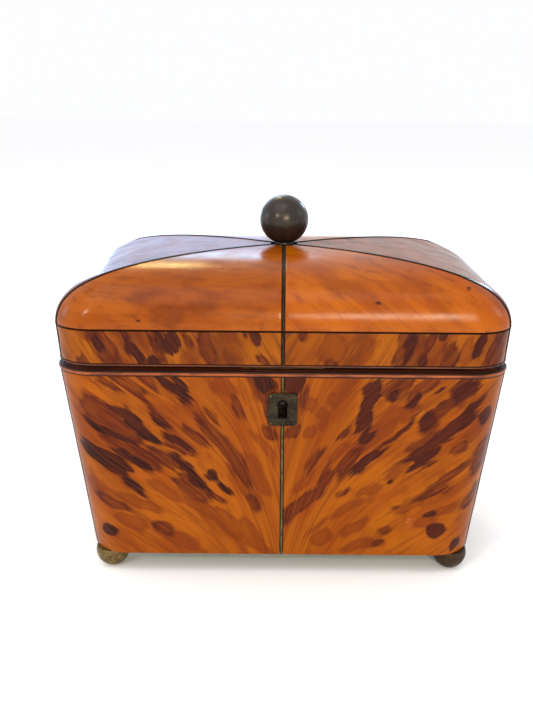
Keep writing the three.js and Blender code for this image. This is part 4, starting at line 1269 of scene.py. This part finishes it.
def dress_frame():
    """Materials for the CAD nodes whose shape stays."""
    assign(MAHOGANY, "board_front", "board_back", "board_bottom", "lid_frame", "lid_board")
    assign(MAHOGANY_SIDE, "board_left", "board_right", "divider")
    assign(FOIL, "tea_lining_left", "tea_lining_right")
    assign(LOCK_BRASS, "lock_plate", "lock_hook", "lock_bolt")
    # The lock case, seen through the keyhole, is darkened as painted shade.
    assign(LOCK_METAL_PAINTED_SHADE, "lock_case")
    assign(BRASS, "finial_nut")
    for side in ("left", "right"):
        assign(BRASS, f"hinge_lower_leaf_{side}", f"hinge_upper_leaf_{side}", f"hinge_pin_{side}")



clad_body()
front_strings()
clad_band()
clad_dome()
lid_strings()
edgings()
escutcheon()
hardware()
feet()
finial()
inner_lids()
velvet_pad()
baize()
dress_frame()
for cutter in (keyhole_cutter, crown_cutter):
    bpy.data.objects.remove(cutter)

# ---- Floor, light and camera -------------------------------------------------------------


def floor():
    mesh = bpy.data.meshes.new("floor")
    reach = 6.0
    corners = ((-reach, -reach, 0), (reach, -reach, 0), (reach, reach, 0), (-reach, reach, 0))
    mesh.from_pydata(corners, [], [(0, 1, 2, 3)])
    shader = Shader("pale_floor", Roughness=0.7)
    mottle = shader.noise(shader.object_mm(), 0.004, 3, 0.5)
    mesh.materials.append(shader.set(Base_Color=shader.mix(mottle, (250, 250, 251), (253, 253, 253))))
    ground = bpy.data.objects.new("floor", mesh)
    scene.collection.objects.link(ground)


def area_light(name, location, target, size, power, colour):
    data = bpy.data.lights.new(name, "AREA")
    data.shape = "RECTANGLE"
    data.size, data.size_y = size
    data.energy = power
    data.color = colour
    light = bpy.data.objects.new(name, data)
    light.location = location
    light.rotation_euler = (Vector(target) - Vector(location)).to_track_quat("-Z", "Y").to_euler()
    light.visible_camera = False
    scene.collection.objects.link(light)


def lights():
    world = bpy.data.worlds.new("studio")
    world.use_nodes = True
    background = world.node_tree.nodes["Background"]
    background.inputs["Color"].default_value = (0.985, 0.99, 1.0, 1)
    background.inputs["Strength"].default_value = 1.0
    scene.world = world
    middle_point = (0, 0, 0.09)
    lid_top = (0, 0, 0.14)
    area_lights = (
        ("key_above", (-0.35, -0.5, 1.35), middle_point, (1.2, 1.0), 6, (0.97, 0.98, 1.0)),
        ("spot_left", (-0.71, -1.05, 0.69), middle_point, (0.12, 0.12), 4, (1.0, 0.9, 0.78)),
        ("warm_front", (0.24, -1.29, 0.5), lid_top, (0.36, 0.24), 8, (1.0, 0.84, 0.62)),
        ("window_left", (-1.25, 0.1, 0.42), middle_point, (0.35, 0.4), 1.6, (0.6, 0.82, 1.0)),
        ("window_right", (1.2, 0.0, 0.62), middle_point, (0.3, 0.4), 1.2, (0.6, 0.82, 1.0)),
        ("window_behind", (-0.36, 1.2, 0.36), lid_top, (0.7, 0.66), 1.9, (0.2, 0.5, 1.0)),
        ("window_high", (-0.12, 1.13, 0.66), lid_top, (0.3, 0.2), 1.6, (0.45, 0.75, 1.0)),
        ("streak_left", (-0.45, 1.21, 0.08), lid_top, (0.08, 0.14), 0.4, (0.55, 0.82, 1.0)),
        ("streak_right", (0.65, 1.06, 0.49), lid_top, (0.1, 0.3), 2.2, (0.5, 0.78, 1.0)),
        ("ceiling_lamp", (-0.23, 0.92, 1.0), lid_top, (0.12, 0.05), 2.0, (1.0, 0.78, 0.3)),
    )
    for values in area_lights:
        area_light(*values)


def camera():
    """Looks down on the front a little, from the middle."""
    data = bpy.data.cameras.new("camera")
    data.sensor_width = 36
    data.lens = 45.9
    data.shift_x = -0.0232
    view = bpy.data.objects.new("camera", data)
    before, above, look_down, roll = 414, 199, 0.285, 0.009
    stand = Matrix.Translation((0, (ORIGIN[1] - before) / MM, (ORIGIN[2] + above) / MM))
    tilt = Matrix.Rotation(math.pi / 2 - look_down, 4, "X")
    view.matrix_world = stand @ tilt @ Matrix.Rotation(roll, 4, "Z")
    scene.collection.objects.link(view)
    scene.camera = view


floor()
lights()
camera()
scene.view_settings.view_transform = "Standard"
